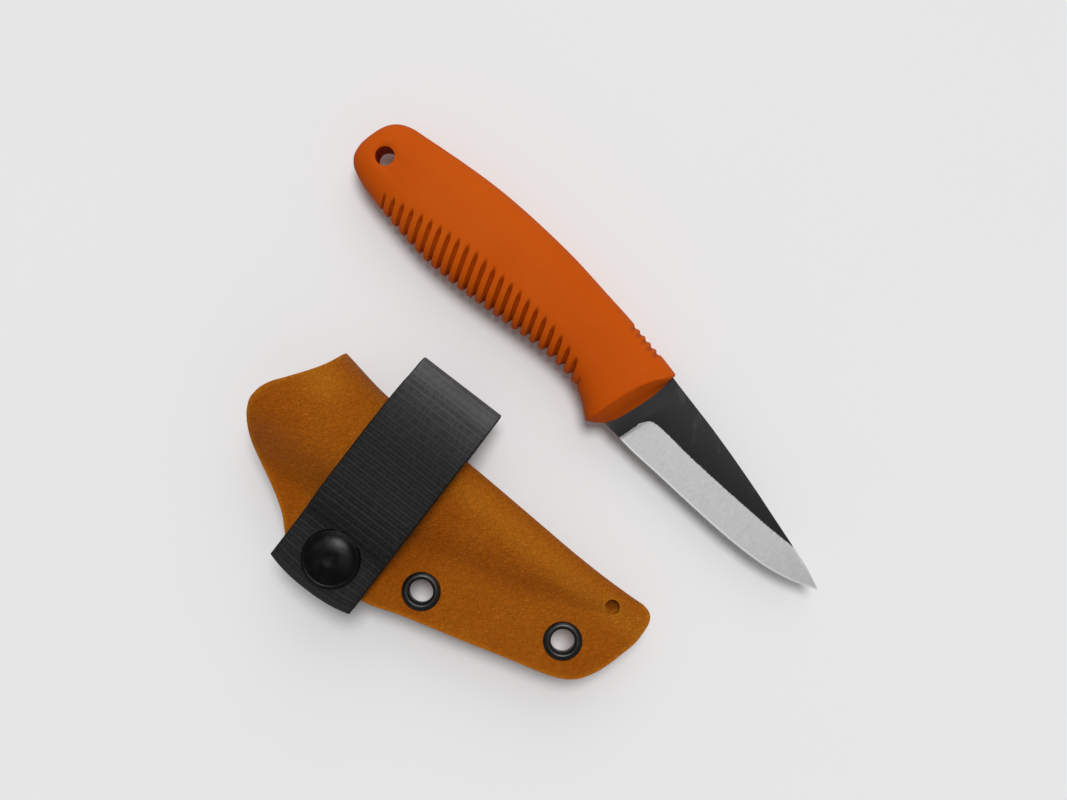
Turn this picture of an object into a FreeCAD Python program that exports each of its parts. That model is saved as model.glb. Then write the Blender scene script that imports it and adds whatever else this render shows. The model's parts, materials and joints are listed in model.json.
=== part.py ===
"""Fixed-blade rigging knife with its folded, snap-strapped sheath.

The knife and the sheath each have a frame of their own, and both are placed in the part's frame at the end:
  knife frame   x along the blade to the tip, y towards the spine, z = 0 in the middle of the blade,
                origin where the spine meets the front of the handle
  sheath frame  x along the fold from the mouth to the tip, y towards the fold, z = 0 between the two layers
In the part's frame the sheath lies on the back leg of its strap, and the drawn knife lies beside it.
"""
import FreeCAD, Part
import math
import os
import Sketcher

os.makedirs("parts", exist_ok=True)
doc = FreeCAD.newDocument("rigging_knife")
Vector = FreeCAD.Vector

# ---------------------------------------------------------------- driving dimensions (mm, degrees)
SIZES = [
    ("blade_length", 75.8, "front of the handle to the tip"),
    ("blade_depth", 23.6, "spine to edge at the ricasso"),
    ("blade_thickness", 3.0, "flat to flat"),
    ("edge_thickness", 0.3, "flat left along the edge"),
    ("ricasso_length", 5.5, "unground stretch in front of the handle"),
    ("tang_length", 94.0, "hidden tang behind the front of the handle"),
    ("tang_depth", 11.0, "depth of the tang at its middle"),
    ("handle_length", 110.3, "front of the handle to the butt"),
    ("handle_thickness", 19.6, "across the fattest place"),
    ("lanyard_bore", 5.8, "hole at the butt"),
    ("lanyard_inset", 8.5, "hole centre to the end of the butt"),
    ("lanyard_drop", 0.56, "hole centre below the back, as a share of the butt's depth"),
    ("wall", 2.0, "thickness of the sheath's sheet"),
    ("layer_gap", 0.3, "between the two layers of the flange"),
    ("side_room", 0.4, "between the handle and the pocket's wall"),
    ("valley", 1.0, "flat of the flange that the bulge's foot covers"),
    ("sheathed_x", -15.8, "front of the handle when the knife is home, sheath frame"),
    ("sheathed_y", -4.5, "spine when the knife is home, sheath frame"),
    ("tip_margin", 9.9, "sheath beyond the knife's tip"),
    ("tip_low_radius", 11.0, "corner of the flange and the tip"),
    ("tip_fold_radius", 5.5, "corner of the tip and the fold"),
    ("drain_hole", 4.5, "hole in the front layer near the tip"),
    ("drain_inset", 12.0, "drain hole to the end of the sheath"),
    ("drain_drop", 0.5, "rim of the drain hole below the inside of the fold"),
    ("eyelet_bore", 7.0, "clear hole of an eyelet"),
    ("eyelet_wall", 0.4, "wall of its barrel"),
    ("eyelet_flare", 11.5, "outside of its flare"),
    ("eyelet_front_x", 11.2, "eyelet nearer the mouth, sheath frame"),
    ("eyelet_tip_x", 52.7, "eyelet nearer the tip, sheath frame"),
    ("eyelet_front_inset", 9.0, "its centre to the flange's long edge"),
    ("eyelet_tip_inset", 11.0, "its centre to the flange's long edge"),
    ("strap_width", 28.6, "along the sheath"),
    ("strap_thickness", 2.0, "one layer of webbing"),
    ("strap_gap", 0.3, "between the strap and the sheath's bulge"),
    ("strap_x", -15.6, "middle of the strap, sheath frame"),
    ("strap_loop", 11.5, "fold of the strap beyond the sheath's fold"),
    ("strap_tail", 21.5, "strap beyond the foot of the bulge"),
    ("snap_inset", 10.3, "snap centre to the foot of the bulge"),
    ("snap_shift", 0.4, "snap centre to the middle of the strap, along the sheath"),
    ("snap_post_bore", 3.5, "post and barrel of the snap"),
    ("snap_hollow", 1.8, "hole along the post and along the barrel"),
    ("snap_cap_diameter", 17.4, "rim of the cap"),
    ("snap_cap_height", 2.6, "dome of the cap"),
    ("snap_disc", 12.0, "stud, post and socket discs"),
    ("snap_sheet", 0.8, "sheet of the stud and post discs"),
    ("snap_nipple", 7.0, "bulb of the stud"),
    ("snap_nipple_height", 2.6, "bulb of the stud above its disc"),
    ("snap_play", 0.45, "between the bulb and the ring spring"),
    ("snap_wire", 0.6, "ring spring's wire"),
    ("snap_lift", 4.2, "strap's underside above the flange at the snap"),
    ("knife_x", 32.1, "origin of the drawn knife, sheath frame"),
    ("knife_y", 56.7, "origin of the drawn knife, sheath frame"),
    ("knife_turn", -17.2, "drawn knife against the sheath, degrees"),
]

sheet = doc.addObject("Spreadsheet::Sheet", "sizes")
for row, (alias, value, note) in enumerate(SIZES, start=1):
    sheet.set(f"A{row}", alias)
    sheet.set(f"B{row}", str(value))
    sheet.set(f"C{row}", note)
    sheet.setAlias(f"B{row}", alias)
doc.recompute()


def size(alias):
    """A driving dimension, read from the sheet."""
    return float(getattr(sheet, alias))


# ---------------------------------------------------------------- outlines of the knife
# Blade: share of its length, then heights of the spine, the grind line and the edge as shares of its depth,
# then its thickness as a share of blade_thickness.
BLADE_STATIONS = [
    (0.132, 0.013, -0.475, -0.958, 1.0),
    (0.264, 0.030, -0.407, -0.864, 1.0),
    (0.396, 0.034, -0.318, -0.775, 1.0),
    (0.528, 0.030, -0.220, -0.682, 1.0),
    (0.660, 0.017, -0.119, -0.576, 1.0),
    (0.792, 0.004, -0.013, -0.441, 1.0),
    (0.858, -0.002, -0.016, -0.347, 0.85),
    (0.923, -0.013, -0.025, -0.229, 0.58),
    (0.979, -0.034, -0.043, -0.102, 0.28),
    (1.000, -0.051, -0.054, -0.061, 0.12),
]
RICASSO_END = (0.008, -0.534, -0.987, 1.0)
# Shares of the tang's length behind the ricasso where it starts to narrow, and where it has narrowed.
TANG_ROOT, TANG_SHOULDER = 0.01, 0.035

# Handle: share of its length, heights of the back and the belly as shares of the blade's depth, so that its
# front stays as deep as the blade, then its thickness as a share of handle_thickness.
HANDLE_STATIONS = [
    (0.008, -0.025, -1.025, 0.57),
    (0.023, 0.021, -1.127, 0.82),
    (0.050, 0.034, -1.199, 0.95),
    (0.091, 0.017, -1.110, 0.94),
    (0.136, -0.008, -1.068, 0.92),
    (0.199, -0.034, -1.127, 0.93),
    (0.290, -0.085, -1.237, 0.96),
    (0.408, -0.153, -1.424, 0.99),
    (0.544, -0.271, -1.619, 1.00),
    (0.671, -0.407, -1.742, 0.97),
    (0.798, -0.602, -1.785, 0.91),
    (0.888, -0.767, -1.794, 0.86),
    (0.943, -0.869, -1.755, 0.79),
    (0.975, -0.962, -1.682, 0.66),
    (0.991, -1.047, -1.576, 0.51),
    (1.000, -1.178, -1.441, 0.22),
]
HANDLE_ROUNDNESS = 2.5   # power of the handle's oval sections
POCKET_ROUNDNESS = 3.0   # power of the pocket's squarer sections
THROUGH = 90.0           # reach of a cutter that goes right through, mm


def blade_stations():
    """Blade sections as (x, spine y, grind y, edge y, half thickness)."""
    length = size("blade_length")
    depth = size("blade_depth")
    half = size("blade_thickness") / 2
    spine, grind, edge, share = RICASSO_END
    rows = [(size("ricasso_length"), spine * depth, grind * depth, edge * depth, share * half)]
    for along, spine, grind, edge, share in BLADE_STATIONS:
        rows.append((along * length, spine * depth, grind * depth, edge * depth, share * half))
    return rows


def handle_stations():
    """Handle sections as (x, back y, belly y, half thickness)."""
    length = size("handle_length")
    depth = size("blade_depth")
    half = size("handle_thickness") / 2
    return [(-along * length, back * depth, belly * depth, share * half)
            for along, back, belly, share in HANDLE_STATIONS]


def between(rows, x):
    """Straight interpolation in rows that are sorted by their first value."""
    if x <= rows[0][0]:
        return rows[0][1:]
    for low, high in zip(rows, rows[1:]):
        if x <= high[0]:
            share = (x - low[0]) / (high[0] - low[0])
            return tuple(a + share * (b - a) for a, b in zip(low[1:], high[1:]))
    return rows[-1][1:]


def knife_section(x):
    """Top, bottom and half thickness of the knife at x in its own frame."""
    if x < 0:
        return between(sorted(handle_stations()), x)
    spine, grind, edge, half = between(blade_stations(), x)
    return spine, edge, half


def oval(x, top, bottom, half, power, count=24):
    """Closed section wire at x, between two heights, with a superellipse's outline."""
    middle = (top + bottom) / 2
    reach = (top - bottom) / 2
    points = []
    for step in range(count):
        angle = 2 * math.pi * step / count
        side = math.cos(angle)
        up = math.sin(angle)
        points.append(Vector(x, middle + reach * math.copysign(abs(side) ** (2 / power), side),
                             half * math.copysign(abs(up) ** (2 / power), up)))
    curve = Part.BSplineCurve()
    curve.interpolate(Points=points, PeriodicFlag=True)
    return Part.Wire([curve.toShape()])


def slab(points, low, high):
    """Plate with a straight-sided outline, between two heights."""
    corners = [Vector(x, y, low) for x, y in points]
    return Part.Face(Part.makePolygon(corners + corners[:1])).extrude(Vector(0, 0, high - low))


def rod(x, y, diameter, low, high):
    """Upright round bar."""
    return Part.makeCylinder(diameter / 2, high - low, Vector(x, y, low))


# ---------------------------------------------------------------- knife
def make_blade_and_tang():
    """Ground blade in front of the handle and one flat tang inside it."""
    half = size("blade_thickness") / 2
    edge_half = size("edge_thickness") / 2
    wires = []
    for x, spine, grind, edge, section_half in blade_stations():
        thin = min(edge_half, section_half)
        outline = [(spine, section_half), (grind, section_half), (edge, thin),
                   (edge, -thin), (grind, -section_half), (spine, -section_half)]
        corners = [Vector(x, y, z) for y, z in outline]
        wires.append(Part.makePolygon(corners + corners[:1]))
    ground = Part.makeLoft(wires, True, True)

    depth = size("blade_depth")
    ricasso = size("ricasso_length")
    length = size("tang_length")
    tang_half = size("tang_depth") / 2
    shoulder = TANG_SHOULDER * length
    root = TANG_ROOT * length
    middle = tang_middle(length)
    front = tang_middle(shoulder)
    outline = [(ricasso, RICASSO_END[0] * depth), (-root, -0.02 * depth),
               (-shoulder, front + 1.2 * tang_half), (-length, middle + 0.8 * tang_half),
               (-length, middle - 0.8 * tang_half), (-shoulder, front - 1.2 * tang_half),
               (-root, -depth), (ricasso, RICASSO_END[2] * depth)]
    return slab(outline, -half, half).fuse(ground).removeSplitter()


def tang_middle(behind):
    """Height of the tang's middle, halfway between the handle's back and belly."""
    back, belly, half = knife_section(-behind)
    return (back + belly) / 2


def make_handle_grip(blade_and_tang):
    """Soft grip moulded round the tang, with a lanyard hole at the butt."""
    wires = [oval(x, back, belly, half, HANDLE_ROUNDNESS) for x, back, belly, half in handle_stations()]
    grip = Part.makeLoft(wires, True, False)
    x, y = lanyard_centre()
    thickness = size("handle_thickness")
    return grip.cut(rod(x, y, size("lanyard_bore"), -thickness, thickness)).cut(blade_and_tang)


def lanyard_centre():
    """Middle of the lanyard hole."""
    x = size("lanyard_inset") - size("handle_length")
    back, belly, half = knife_section(x)
    return x, back + size("lanyard_drop") * (belly - back)


# ---------------------------------------------------------------- sheath
# Pocket: place along the knife, then the room over its back, under its belly or edge, and the extra beside it.
# Beside the handle the place is in mm behind its front, and beside the blade it is a share of its length.
ROOM_AT_HANDLE = [
    (50.0, 13.8, 1.2, 0.0),
    (32.0, 8.5, 2.8, 0.2),
    (15.0, 3.7, 3.8, 0.4),
    (5.5, 2.3, 1.2, 0.0),
    (1.0, 2.9, 3.9, 1.8),
]
ROOM_AT_BLADE = [
    (0.066, 2.65, 2.6, 2.9),
    (0.208, 1.9, 1.4, 0.9),
    (0.604, 0.7, 1.1, 0.65),
    (0.805, 0.6, 0.9, 0.6),
    (0.976, 1.5, 1.6, 0.5),
    (1.060, 2.0, 1.0, 0.1),
]

# Mouth's edge: x from the front of the sheathed handle, y as a share of the blade's depth.
MOUTH_EDGE = [(-33.7, 0.08), (-35.8, -0.15), (-41.4, -0.47), (-45.0, -0.66), (-46.5, -0.93), (-45.4, -1.08),
              (-42.4, -1.25), (-34.0, -1.53), (-24.2, -1.75)]
# Flange's long edge: share of the length from the origin to the tip's end, and width below the pocket.
FLANGE_WIDTHS = [(-0.32, 17.5), (0.0, 23.0), (0.43, 21.2), (0.83, 25.0)]


def pocket_stations():
    """Pocket sections in the sheath frame as (x, top y, bottom y, half height)."""
    rows = []
    for behind, over, under, extra in ROOM_AT_HANDLE:
        rows.append(pocket_section(-behind, over, under, extra))
    for share, over, under, extra in ROOM_AT_BLADE:
        rows.append(pocket_section(share * size("blade_length"), over, under, extra))
    return rows


def pocket_section(knife_x, over, under, extra):
    """One pocket section round the sheathed knife."""
    top, bottom, half = knife_section(knife_x)
    home = size("sheathed_y")
    room = size("side_room") + extra
    return knife_x + size("sheathed_x"), top + home + over, bottom + home - under, half + room


def layer_half():
    """Outer face of a flange layer above the middle of the sheath."""
    return size("wall") + size("layer_gap") / 2


def sheath_end():
    """x of the sheath's tip end."""
    return size("sheathed_x") + size("blade_length") + size("tip_margin")


def flange_edge(x):
    """Height of the flange's long edge at x."""
    pocket = pocket_stations()
    rows = []
    for share, width in FLANGE_WIDTHS:
        at = share * sheath_end()
        rows.append((at, between(pocket, at)[1] - width))
    return between(rows, x)[0]


def sheath_outline():
    """Face that trims the mouth, the flange and the tip; the fold trims itself."""
    junction = size("sheathed_x")
    depth = size("blade_depth")
    end = sheath_end()
    mouth_points = [Vector(junction + x, share * depth, 0) for x, share in MOUTH_EDGE]
    corner_x = FLANGE_WIDTHS[0][0] * end
    corner = Vector(corner_x, flange_edge(corner_x), 0)
    mouth = Part.BSplineCurve()
    mouth.interpolate(mouth_points + [corner + Vector(-7.5, 3.9, 0), corner])
    edge_points = [Vector(share * end, flange_edge(share * end), 0) for share, width in FLANGE_WIDTHS[1:]]
    fold_y = pocket_stations()[-1][1] + size("wall")
    run = edge_points[-1] - edge_points[-2]
    low = edge_points[-1] + run * ((0.93 * end - edge_points[-1].x) / run.x)
    high = Vector(1.013 * end, fold_y, 0)
    above = Vector(high.x - 30.0, fold_y, 0)
    low_start, low_round, low_end = rounded_corner(edge_points[-2], low, high, size("tip_low_radius"))
    high_start, high_round, high_end = rounded_corner(low, high, above, size("tip_fold_radius"))
    back = [high_end, high_end + Vector(0, THROUGH, 0), Vector(mouth_points[0].x, THROUGH, 0),
            mouth_points[0]]
    edges = [mouth.toShape()] + Part.makePolygon([corner] + edge_points[:-1] + [low_start]).Edges
    edges += [low_round, Part.LineSegment(low_end, high_start).toShape(), high_round]
    return Part.Face(Part.Wire(edges + Part.makePolygon(back).Edges))


def rounded_corner(before, corner, after, radius):
    """Start, arc and end of a corner rounded between two straight lines."""
    back = (before - corner).normalize()
    on = (after - corner).normalize()
    half = back.getAngle(on) / 2
    start = corner + back * (radius / math.tan(half))
    end = corner + on * (radius / math.tan(half))
    bisector = (back + on).normalize()
    middle = corner + bisector * (radius / math.sin(half) - radius)
    return start, Part.Arc(start, middle, end).toShape(), end


def sheet_profile(x, top, bottom, half, flat, far):
    """Closed section wire of a bulge that runs out into a plate of half height flat, down to y = -far."""
    middle = (top + bottom) / 2
    reach = (top - bottom) / 2
    power = POCKET_ROUNDNESS
    foot = math.pi - math.asin(min(1.0, flat / half) ** (power / 2))
    count = 16
    points = []
    for step in range(count + 1):
        angle = foot - 2 * foot * step / count
        side = math.cos(angle)
        up = math.sin(angle)
        points.append(Vector(x, middle + reach * math.copysign(abs(side) ** (2 / power), side),
                             half * math.copysign(abs(up) ** (2 / power), up)))
    curve = Part.BSplineCurve()
    curve.interpolate(points)
    corners = [points[-1], Vector(x, -far, -flat), Vector(x, -far, flat), points[0]]
    return Part.Wire([curve.toShape()] + Part.makePolygon(corners).Edges)


def make_sheath_shell():
    """One folded sheet: two layers that bulge round the knife and lie flat on each other at the flange."""
    wall = size("wall")
    gap = size("layer_gap") / 2
    pocket = pocket_stations()
    x, top, bottom, half = pocket[-1]
    pocket.append((sheath_end() + 2.0, top, bottom, gap + 0.02))
    outside = [sheet_profile(x, top + wall, bottom - size("valley"), half + wall, layer_half(), THROUGH)
               for x, top, bottom, half in pocket]
    inside = [sheet_profile(x, top, bottom, half, gap, THROUGH + 1.0) for x, top, bottom, half in pocket]
    trim = sheath_outline()
    trim.translate(Vector(0, 0, -THROUGH))
    shell = Part.makeLoft(outside, True, True).common(trim.extrude(Vector(0, 0, 2 * THROUGH)))
    shell = shell.cut(Part.makeLoft(inside, True, True))
    for x, y in eyelet_centres().values():
        shell = shell.cut(rod(x, y, size("eyelet_bore") + 2 * size("eyelet_wall"), -THROUGH, THROUGH))
    x, y = snap_centre()
    shell = shell.cut(rod(x, y, size("snap_post_bore"), -THROUGH, THROUGH))
    drain_x = sheath_end() - size("drain_inset")
    drain_y = between(pocket, drain_x)[0] - size("drain_hole") / 2 - size("drain_drop")
    return shell.cut(rod(drain_x, drain_y, size("drain_hole"), 0, THROUGH))


def eyelet_centres():
    """Eyelet names and centres in the sheath frame."""
    centres = {}
    for place in ("front", "tip"):
        x = size(f"eyelet_{place}_x")
        centres[f"eyelet_{place}"] = (x, flange_edge(x) + size(f"eyelet_{place}_inset"))
    return centres


# ---------------------------------------------------------------- strap
def bulge_at_strap():
    """Fold y, foot y and half height of the bulge under the strap, at its fattest."""
    wall = size("wall")
    edges = [size("strap_x") + side * size("strap_width") / 2 for side in (-1, 1)]
    places = [row[0] for row in pocket_stations() if edges[0] < row[0] < edges[1]] + edges
    rows = [between(pocket_stations(), x) for x in places]
    return (max(row[0] for row in rows) + wall, min(row[1] for row in rows) - size("valley"),
            max(row[2] for row in rows) + wall)


def strap_fold_y():
    """Where the two legs of the strap meet, beyond the sheath's fold."""
    return bulge_at_strap()[0] + size("strap_loop")


def snap_centre():
    """Middle of the snap in the sheath frame."""
    return size("strap_x") + size("snap_shift"), bulge_at_strap()[1] - size("snap_inset")


def leg_points(tail_height):
    """Inner face of a strap leg as (y, height above the sheath's middle), from the fold to the cut end."""
    fold, foot, half = bulge_at_strap()
    over = half + size("strap_gap")
    closed = size("layer_gap") / 2
    return [(strap_fold_y(), closed), (strap_fold_y() - 1.5, closed), (fold + 6.5, 0.58 * over),
            (fold + 1.5, 0.80 * over), (fold - 3.5, 0.94 * over), (fold - 10.0, over), (foot + 12.2, over),
            (foot + 5.2, 0.91 * over), (foot + 1.7, 0.70 * over), (foot - 1.0, tail_height),
            (foot - size("strap_tail"), tail_height)]


def offset(points, distance):
    """The same open line moved to its left by a distance, with mitred corners."""
    moved = []
    for i, point in enumerate(points):
        before = points[max(i - 1, 0)]
        after = points[min(i + 1, len(points) - 1)]
        turns = []
        for start, end in ((before, point), (point, after)):
            if start != end:
                run = math.hypot(end[0] - start[0], end[1] - start[1])
                turns.append(((start[1] - end[1]) / run, (end[0] - start[0]) / run))
        across = tuple(sum(turn[k] for turn in turns) / len(turns) for k in (0, 1))
        reach = distance / (across[0] ** 2 + across[1] ** 2)
        moved.append((point[0] + reach * across[0], point[1] + reach * across[1]))
    return moved


def make_strap_leg(side, tail_height):
    """One leg of the strap: side 1 lies over the front of the sheath, side -1 behind it."""
    inner = leg_points(tail_height)
    outer = offset(inner, -size("strap_thickness"))
    start = size("strap_x") - size("strap_width") / 2
    corners = [Vector(start, y, side * z) for y, z in inner + outer[::-1]]
    leg = Part.Face(Part.makePolygon(corners + corners[:1])).extrude(Vector(size("strap_width"), 0, 0))
    x, y = snap_centre()
    return leg.cut(rod(x, y, size("snap_post_bore"), -THROUGH, THROUGH))


# ---------------------------------------------------------------- turned pieces
def turned(name, points):
    """PartDesign body turned about z from a closed profile; each corner is a pair of sheet expressions."""
    body = doc.addObject("PartDesign::Body", name)
    body.Label = name
    sketch = body.newObject("Sketcher::SketchObject", name + "_profile")
    plane = [item for item in body.Origin.OriginFeatures if item.Role == "XZ_Plane"][0]
    sketch.AttachmentSupport = [(plane, "")]
    sketch.MapMode = "FlatFace"
    corners = [Vector(*[float(sheet.evalExpression(text)) for text in pair], 0) for pair in points]
    for start, end in zip(corners, corners[1:] + corners[:1]):
        sketch.addGeometry(Part.LineSegment(start, end), False)
    count = len(corners)
    for i in range(count):
        sketch.addConstraint(Sketcher.Constraint("Coincident", i, 2, (i + 1) % count, 1))
    for i, pair in enumerate(points):
        for axis, text, value in zip("XY", pair, corners[i]):
            index = sketch.addConstraint(Sketcher.Constraint(f"Distance{axis}", -1, 1, i, 1, value))
            sketch.renameConstraint(index, f"corner{i}{axis}")
            sketch.setExpression(f"Constraints.corner{i}{axis}", in_sheet(text))
    revolution = body.newObject("PartDesign::Revolution", name + "_turned")
    revolution.Profile = sketch
    revolution.ReferenceAxis = (sketch, ["V_Axis"])
    revolution.Angle = 360.0
    doc.recompute()
    return body


def in_sheet(text):
    """The same expression with its aliases looked up in the sheet from outside."""
    words = {alias for alias, value, note in SIZES}
    return " ".join(f"sizes.{word}" if word in words else word for word in text.split())


FLAT = "( wall + layer_gap / 2 )"
EYELET = [("eyelet_bore / 2", f"0 - {FLAT} - 0.9"), ("eyelet_bore / 2 + 0.9", f"0 - {FLAT} - 1.0"),
          ("eyelet_flare / 2", f"0 - {FLAT} - 0.25"), ("eyelet_flare / 2", f"0 - {FLAT}"),
          ("eyelet_bore / 2 + eyelet_wall", f"0 - {FLAT}"), ("eyelet_bore / 2 + eyelet_wall", FLAT),
          ("eyelet_flare / 2", FLAT), ("eyelet_flare / 2", f"{FLAT} + 0.25"),
          ("eyelet_bore / 2 + 0.9", f"{FLAT} + 1.0"), ("eyelet_bore / 2", f"{FLAT} + 0.9")]

# Snap, from below: the post's disc under the back leg, the stud on the flange, the socket and its ring spring
# under the front leg, and the cap on top.
BELOW = f"( 0 - {FLAT} - strap_thickness )"
LEG = f"( {FLAT} + snap_lift )"
BULB = "snap_nipple / 2"
NECK = "( snap_nipple / 2 - 0.5 )"
POST = "snap_post_bore / 2"
HOLLOW = "snap_hollow / 2"
STUD_TOP = f"{FLAT} + snap_sheet"
SNAP_POST = [(HOLLOW, BELOW + " - snap_sheet"), ("snap_disc / 2 - 0.3", BELOW + " - snap_sheet"),
             ("snap_disc / 2", BELOW + " - snap_sheet + 0.3"), ("snap_disc / 2", BELOW), (POST, BELOW),
             (POST, STUD_TOP + " + 0.5"), (HOLLOW, STUD_TOP + " + 0.5")]
SNAP_STUD = [(POST, FLAT), ("snap_disc / 2", FLAT), ("snap_disc / 2", STUD_TOP + " - 0.3"),
             ("snap_disc / 2 - 0.4", STUD_TOP), (NECK, STUD_TOP), (NECK, STUD_TOP + " + 0.9"),
             (BULB, STUD_TOP + " + 1.5"), (BULB, STUD_TOP + " + 2.1"),
             (NECK, STUD_TOP + " + snap_nipple_height"),
             ("snap_nipple / 2 - 1.1", STUD_TOP + " + snap_nipple_height"),
             ("snap_nipple / 2 - 1.1", STUD_TOP), (POST, STUD_TOP)]
CUP = "( snap_nipple / 2 + snap_play )"
SNAP_SOCKET = [(f"{CUP} + 0.25", f"{STUD_TOP} + 0.3"), ("snap_disc / 2 - 0.4", f"{STUD_TOP} + 0.3"),
               ("snap_disc / 2", f"{STUD_TOP} + 0.7"), ("snap_disc / 2", LEG), (POST, LEG),
               (POST, f"{LEG} - 0.4"), (f"{CUP} + 0.25", f"{LEG} - 0.4"),
               (f"{CUP} + 0.25", f"{STUD_TOP} + 0.3 + 1.6"),
               (f"{CUP} + 0.25 + snap_wire", f"{STUD_TOP} + 0.3 + 1.6"),
               (f"{CUP} + 0.25 + snap_wire", f"{STUD_TOP} + 0.3 + 0.8"),
               (f"{CUP} + 0.25", f"{STUD_TOP} + 0.3 + 0.8")]
CAP = f"( {LEG} + strap_thickness )"
RIM = "snap_cap_diameter / 2"
SNAP_CAP = [(HOLLOW, f"{LEG} - 0.4"), (POST, f"{LEG} - 0.4"), (POST, CAP), (RIM + " - 0.4", CAP),
            (RIM, f"{CAP} + 0.4"), (RIM, f"{CAP} + 0.8"),
            (RIM + " - 0.6", f"{CAP} + 0.42 * snap_cap_height + 0.2"),
            (RIM + " - 2.2", f"{CAP} + 0.72 * snap_cap_height"),
            (RIM + " - 4.4", f"{CAP} + 0.90 * snap_cap_height"),
            (RIM + " - 6.6", f"{CAP} + 0.98 * snap_cap_height"), (HOLLOW, f"{CAP} + snap_cap_height")]


def make_snap_spring():
    """Ring of wire that grips the stud, in its groove of the socket."""
    spring = doc.addObject("Part::Torus", "snap_spring")
    spring.Label = "snap_spring"
    spring.setExpression("Radius1", in_sheet("snap_nipple / 2 + snap_play + snap_wire / 2"))
    spring.setExpression("Radius2", in_sheet("snap_wire / 2"))
    return spring


# ---------------------------------------------------------------- placing
def knife_placement():
    """The drawn knife lies on the fattest place of its handle."""
    turn = FreeCAD.Rotation(Vector(0, 0, 1), size("knife_turn"))
    return FreeCAD.Placement(Vector(size("knife_x"), size("knife_y"), size("handle_thickness") / 2), turn)


def sheath_middle():
    """Height of the sheath's middle when the strap's back leg lies on the floor."""
    return bulge_at_strap()[2] + size("strap_gap") + size("strap_thickness")


def on_sheath(x=0.0, y=0.0, z=0.0):
    """Placement of something at a place in the sheath frame."""
    return FreeCAD.Placement(Vector(x, y, z + sheath_middle()), FreeCAD.Rotation())


def feature(name, shape, placement):
    """Part::Feature with a shape that the sheet's sizes gave."""
    item = doc.addObject("Part::Feature", name)
    item.Label = name
    item.Shape = shape
    item.Placement = placement
    return item


nodes = []
blade_shape = make_blade_and_tang()
nodes.append(feature("blade_and_tang", blade_shape, knife_placement()))
nodes.append(feature("handle_grip", make_handle_grip(blade_shape), knife_placement()))
nodes.append(feature("sheath_shell", make_sheath_shell(), on_sheath()))
nodes.append(feature("strap_back", make_strap_leg(-1, layer_half()), on_sheath()))
nodes.append(feature("strap_front", make_strap_leg(1, layer_half() + size("snap_lift")), on_sheath()))
for name, (x, y) in eyelet_centres().items():
    nodes.append(turned(name, EYELET))
    nodes[-1].Placement = on_sheath(x, y)
for name, profile in (("snap_post", SNAP_POST), ("snap_stud", SNAP_STUD),
                      ("snap_socket", SNAP_SOCKET), ("snap_cap", SNAP_CAP)):
    nodes.append(turned(name, profile))
    nodes[-1].Placement = on_sheath(*snap_centre())
nodes.append(make_snap_spring())
spring_height = float(sheet.evalExpression(f"{STUD_TOP} + 0.3 + 1.2"))
nodes[-1].Placement = on_sheath(*snap_centre(), spring_height)
doc.recompute()

# The part's origin is under the middle of its box, on the floor.
everything = FreeCAD.BoundBox()
for node in nodes:
    everything.add(node.Shape.optimalBoundingBox())
shift = Vector(-everything.Center.x, -everything.Center.y, 0)
for node in nodes:
    node.Placement = FreeCAD.Placement(shift, FreeCAD.Rotation()).multiply(node.Placement)
doc.recompute()

for item in doc.Objects:
    if "Invalid" in item.State or "Error" in item.State:
        raise RuntimeError(f"{item.Label} failed: {item.State}")
for node in nodes:
    if node.Shape.isNull() or not node.Shape.isValid():
        raise RuntimeError(f"{node.Label} has no valid shape")

for node in nodes:
    node.Shape.exportStep(f"parts/{node.Label}.step")
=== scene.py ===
import json
import math

import bmesh
import bpy
import numpy as np
from bpy.props import FloatProperty, FloatVectorProperty, IntProperty, PointerProperty
from mathutils import Matrix, Vector


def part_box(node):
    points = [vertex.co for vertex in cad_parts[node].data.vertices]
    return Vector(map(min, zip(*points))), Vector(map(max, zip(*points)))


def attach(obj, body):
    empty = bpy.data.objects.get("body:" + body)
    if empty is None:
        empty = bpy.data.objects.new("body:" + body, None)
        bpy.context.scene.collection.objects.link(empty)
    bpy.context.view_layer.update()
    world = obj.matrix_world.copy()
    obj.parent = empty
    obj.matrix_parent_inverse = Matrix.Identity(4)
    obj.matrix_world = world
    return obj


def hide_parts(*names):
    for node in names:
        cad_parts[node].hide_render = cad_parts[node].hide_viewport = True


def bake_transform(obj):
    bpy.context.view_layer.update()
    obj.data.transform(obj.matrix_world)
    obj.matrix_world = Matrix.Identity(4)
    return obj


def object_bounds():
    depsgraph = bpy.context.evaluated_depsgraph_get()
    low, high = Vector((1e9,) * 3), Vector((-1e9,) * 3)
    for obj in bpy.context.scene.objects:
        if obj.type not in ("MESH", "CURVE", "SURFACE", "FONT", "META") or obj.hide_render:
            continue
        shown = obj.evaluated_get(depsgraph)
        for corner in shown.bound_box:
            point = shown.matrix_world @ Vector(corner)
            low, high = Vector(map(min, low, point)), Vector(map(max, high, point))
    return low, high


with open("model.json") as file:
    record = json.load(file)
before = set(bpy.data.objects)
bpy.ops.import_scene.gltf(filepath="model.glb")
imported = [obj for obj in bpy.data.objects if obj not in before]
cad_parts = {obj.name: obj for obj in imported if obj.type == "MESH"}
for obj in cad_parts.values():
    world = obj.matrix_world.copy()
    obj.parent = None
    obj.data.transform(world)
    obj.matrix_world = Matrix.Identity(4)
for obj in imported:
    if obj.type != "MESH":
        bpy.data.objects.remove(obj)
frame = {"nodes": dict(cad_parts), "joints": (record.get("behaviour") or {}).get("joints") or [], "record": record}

bl_info = {
    "name": "Rigging knife and sheath",
    "version": (1, 0, 0),
    "blender": (4, 5, 0),
    "location": "View3D > Sidebar > Rigging Knife",
    "description": "Builds the visible pieces of a fixed-blade rigging knife and its snap-strap sheath",
    "category": "Object",
}

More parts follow.
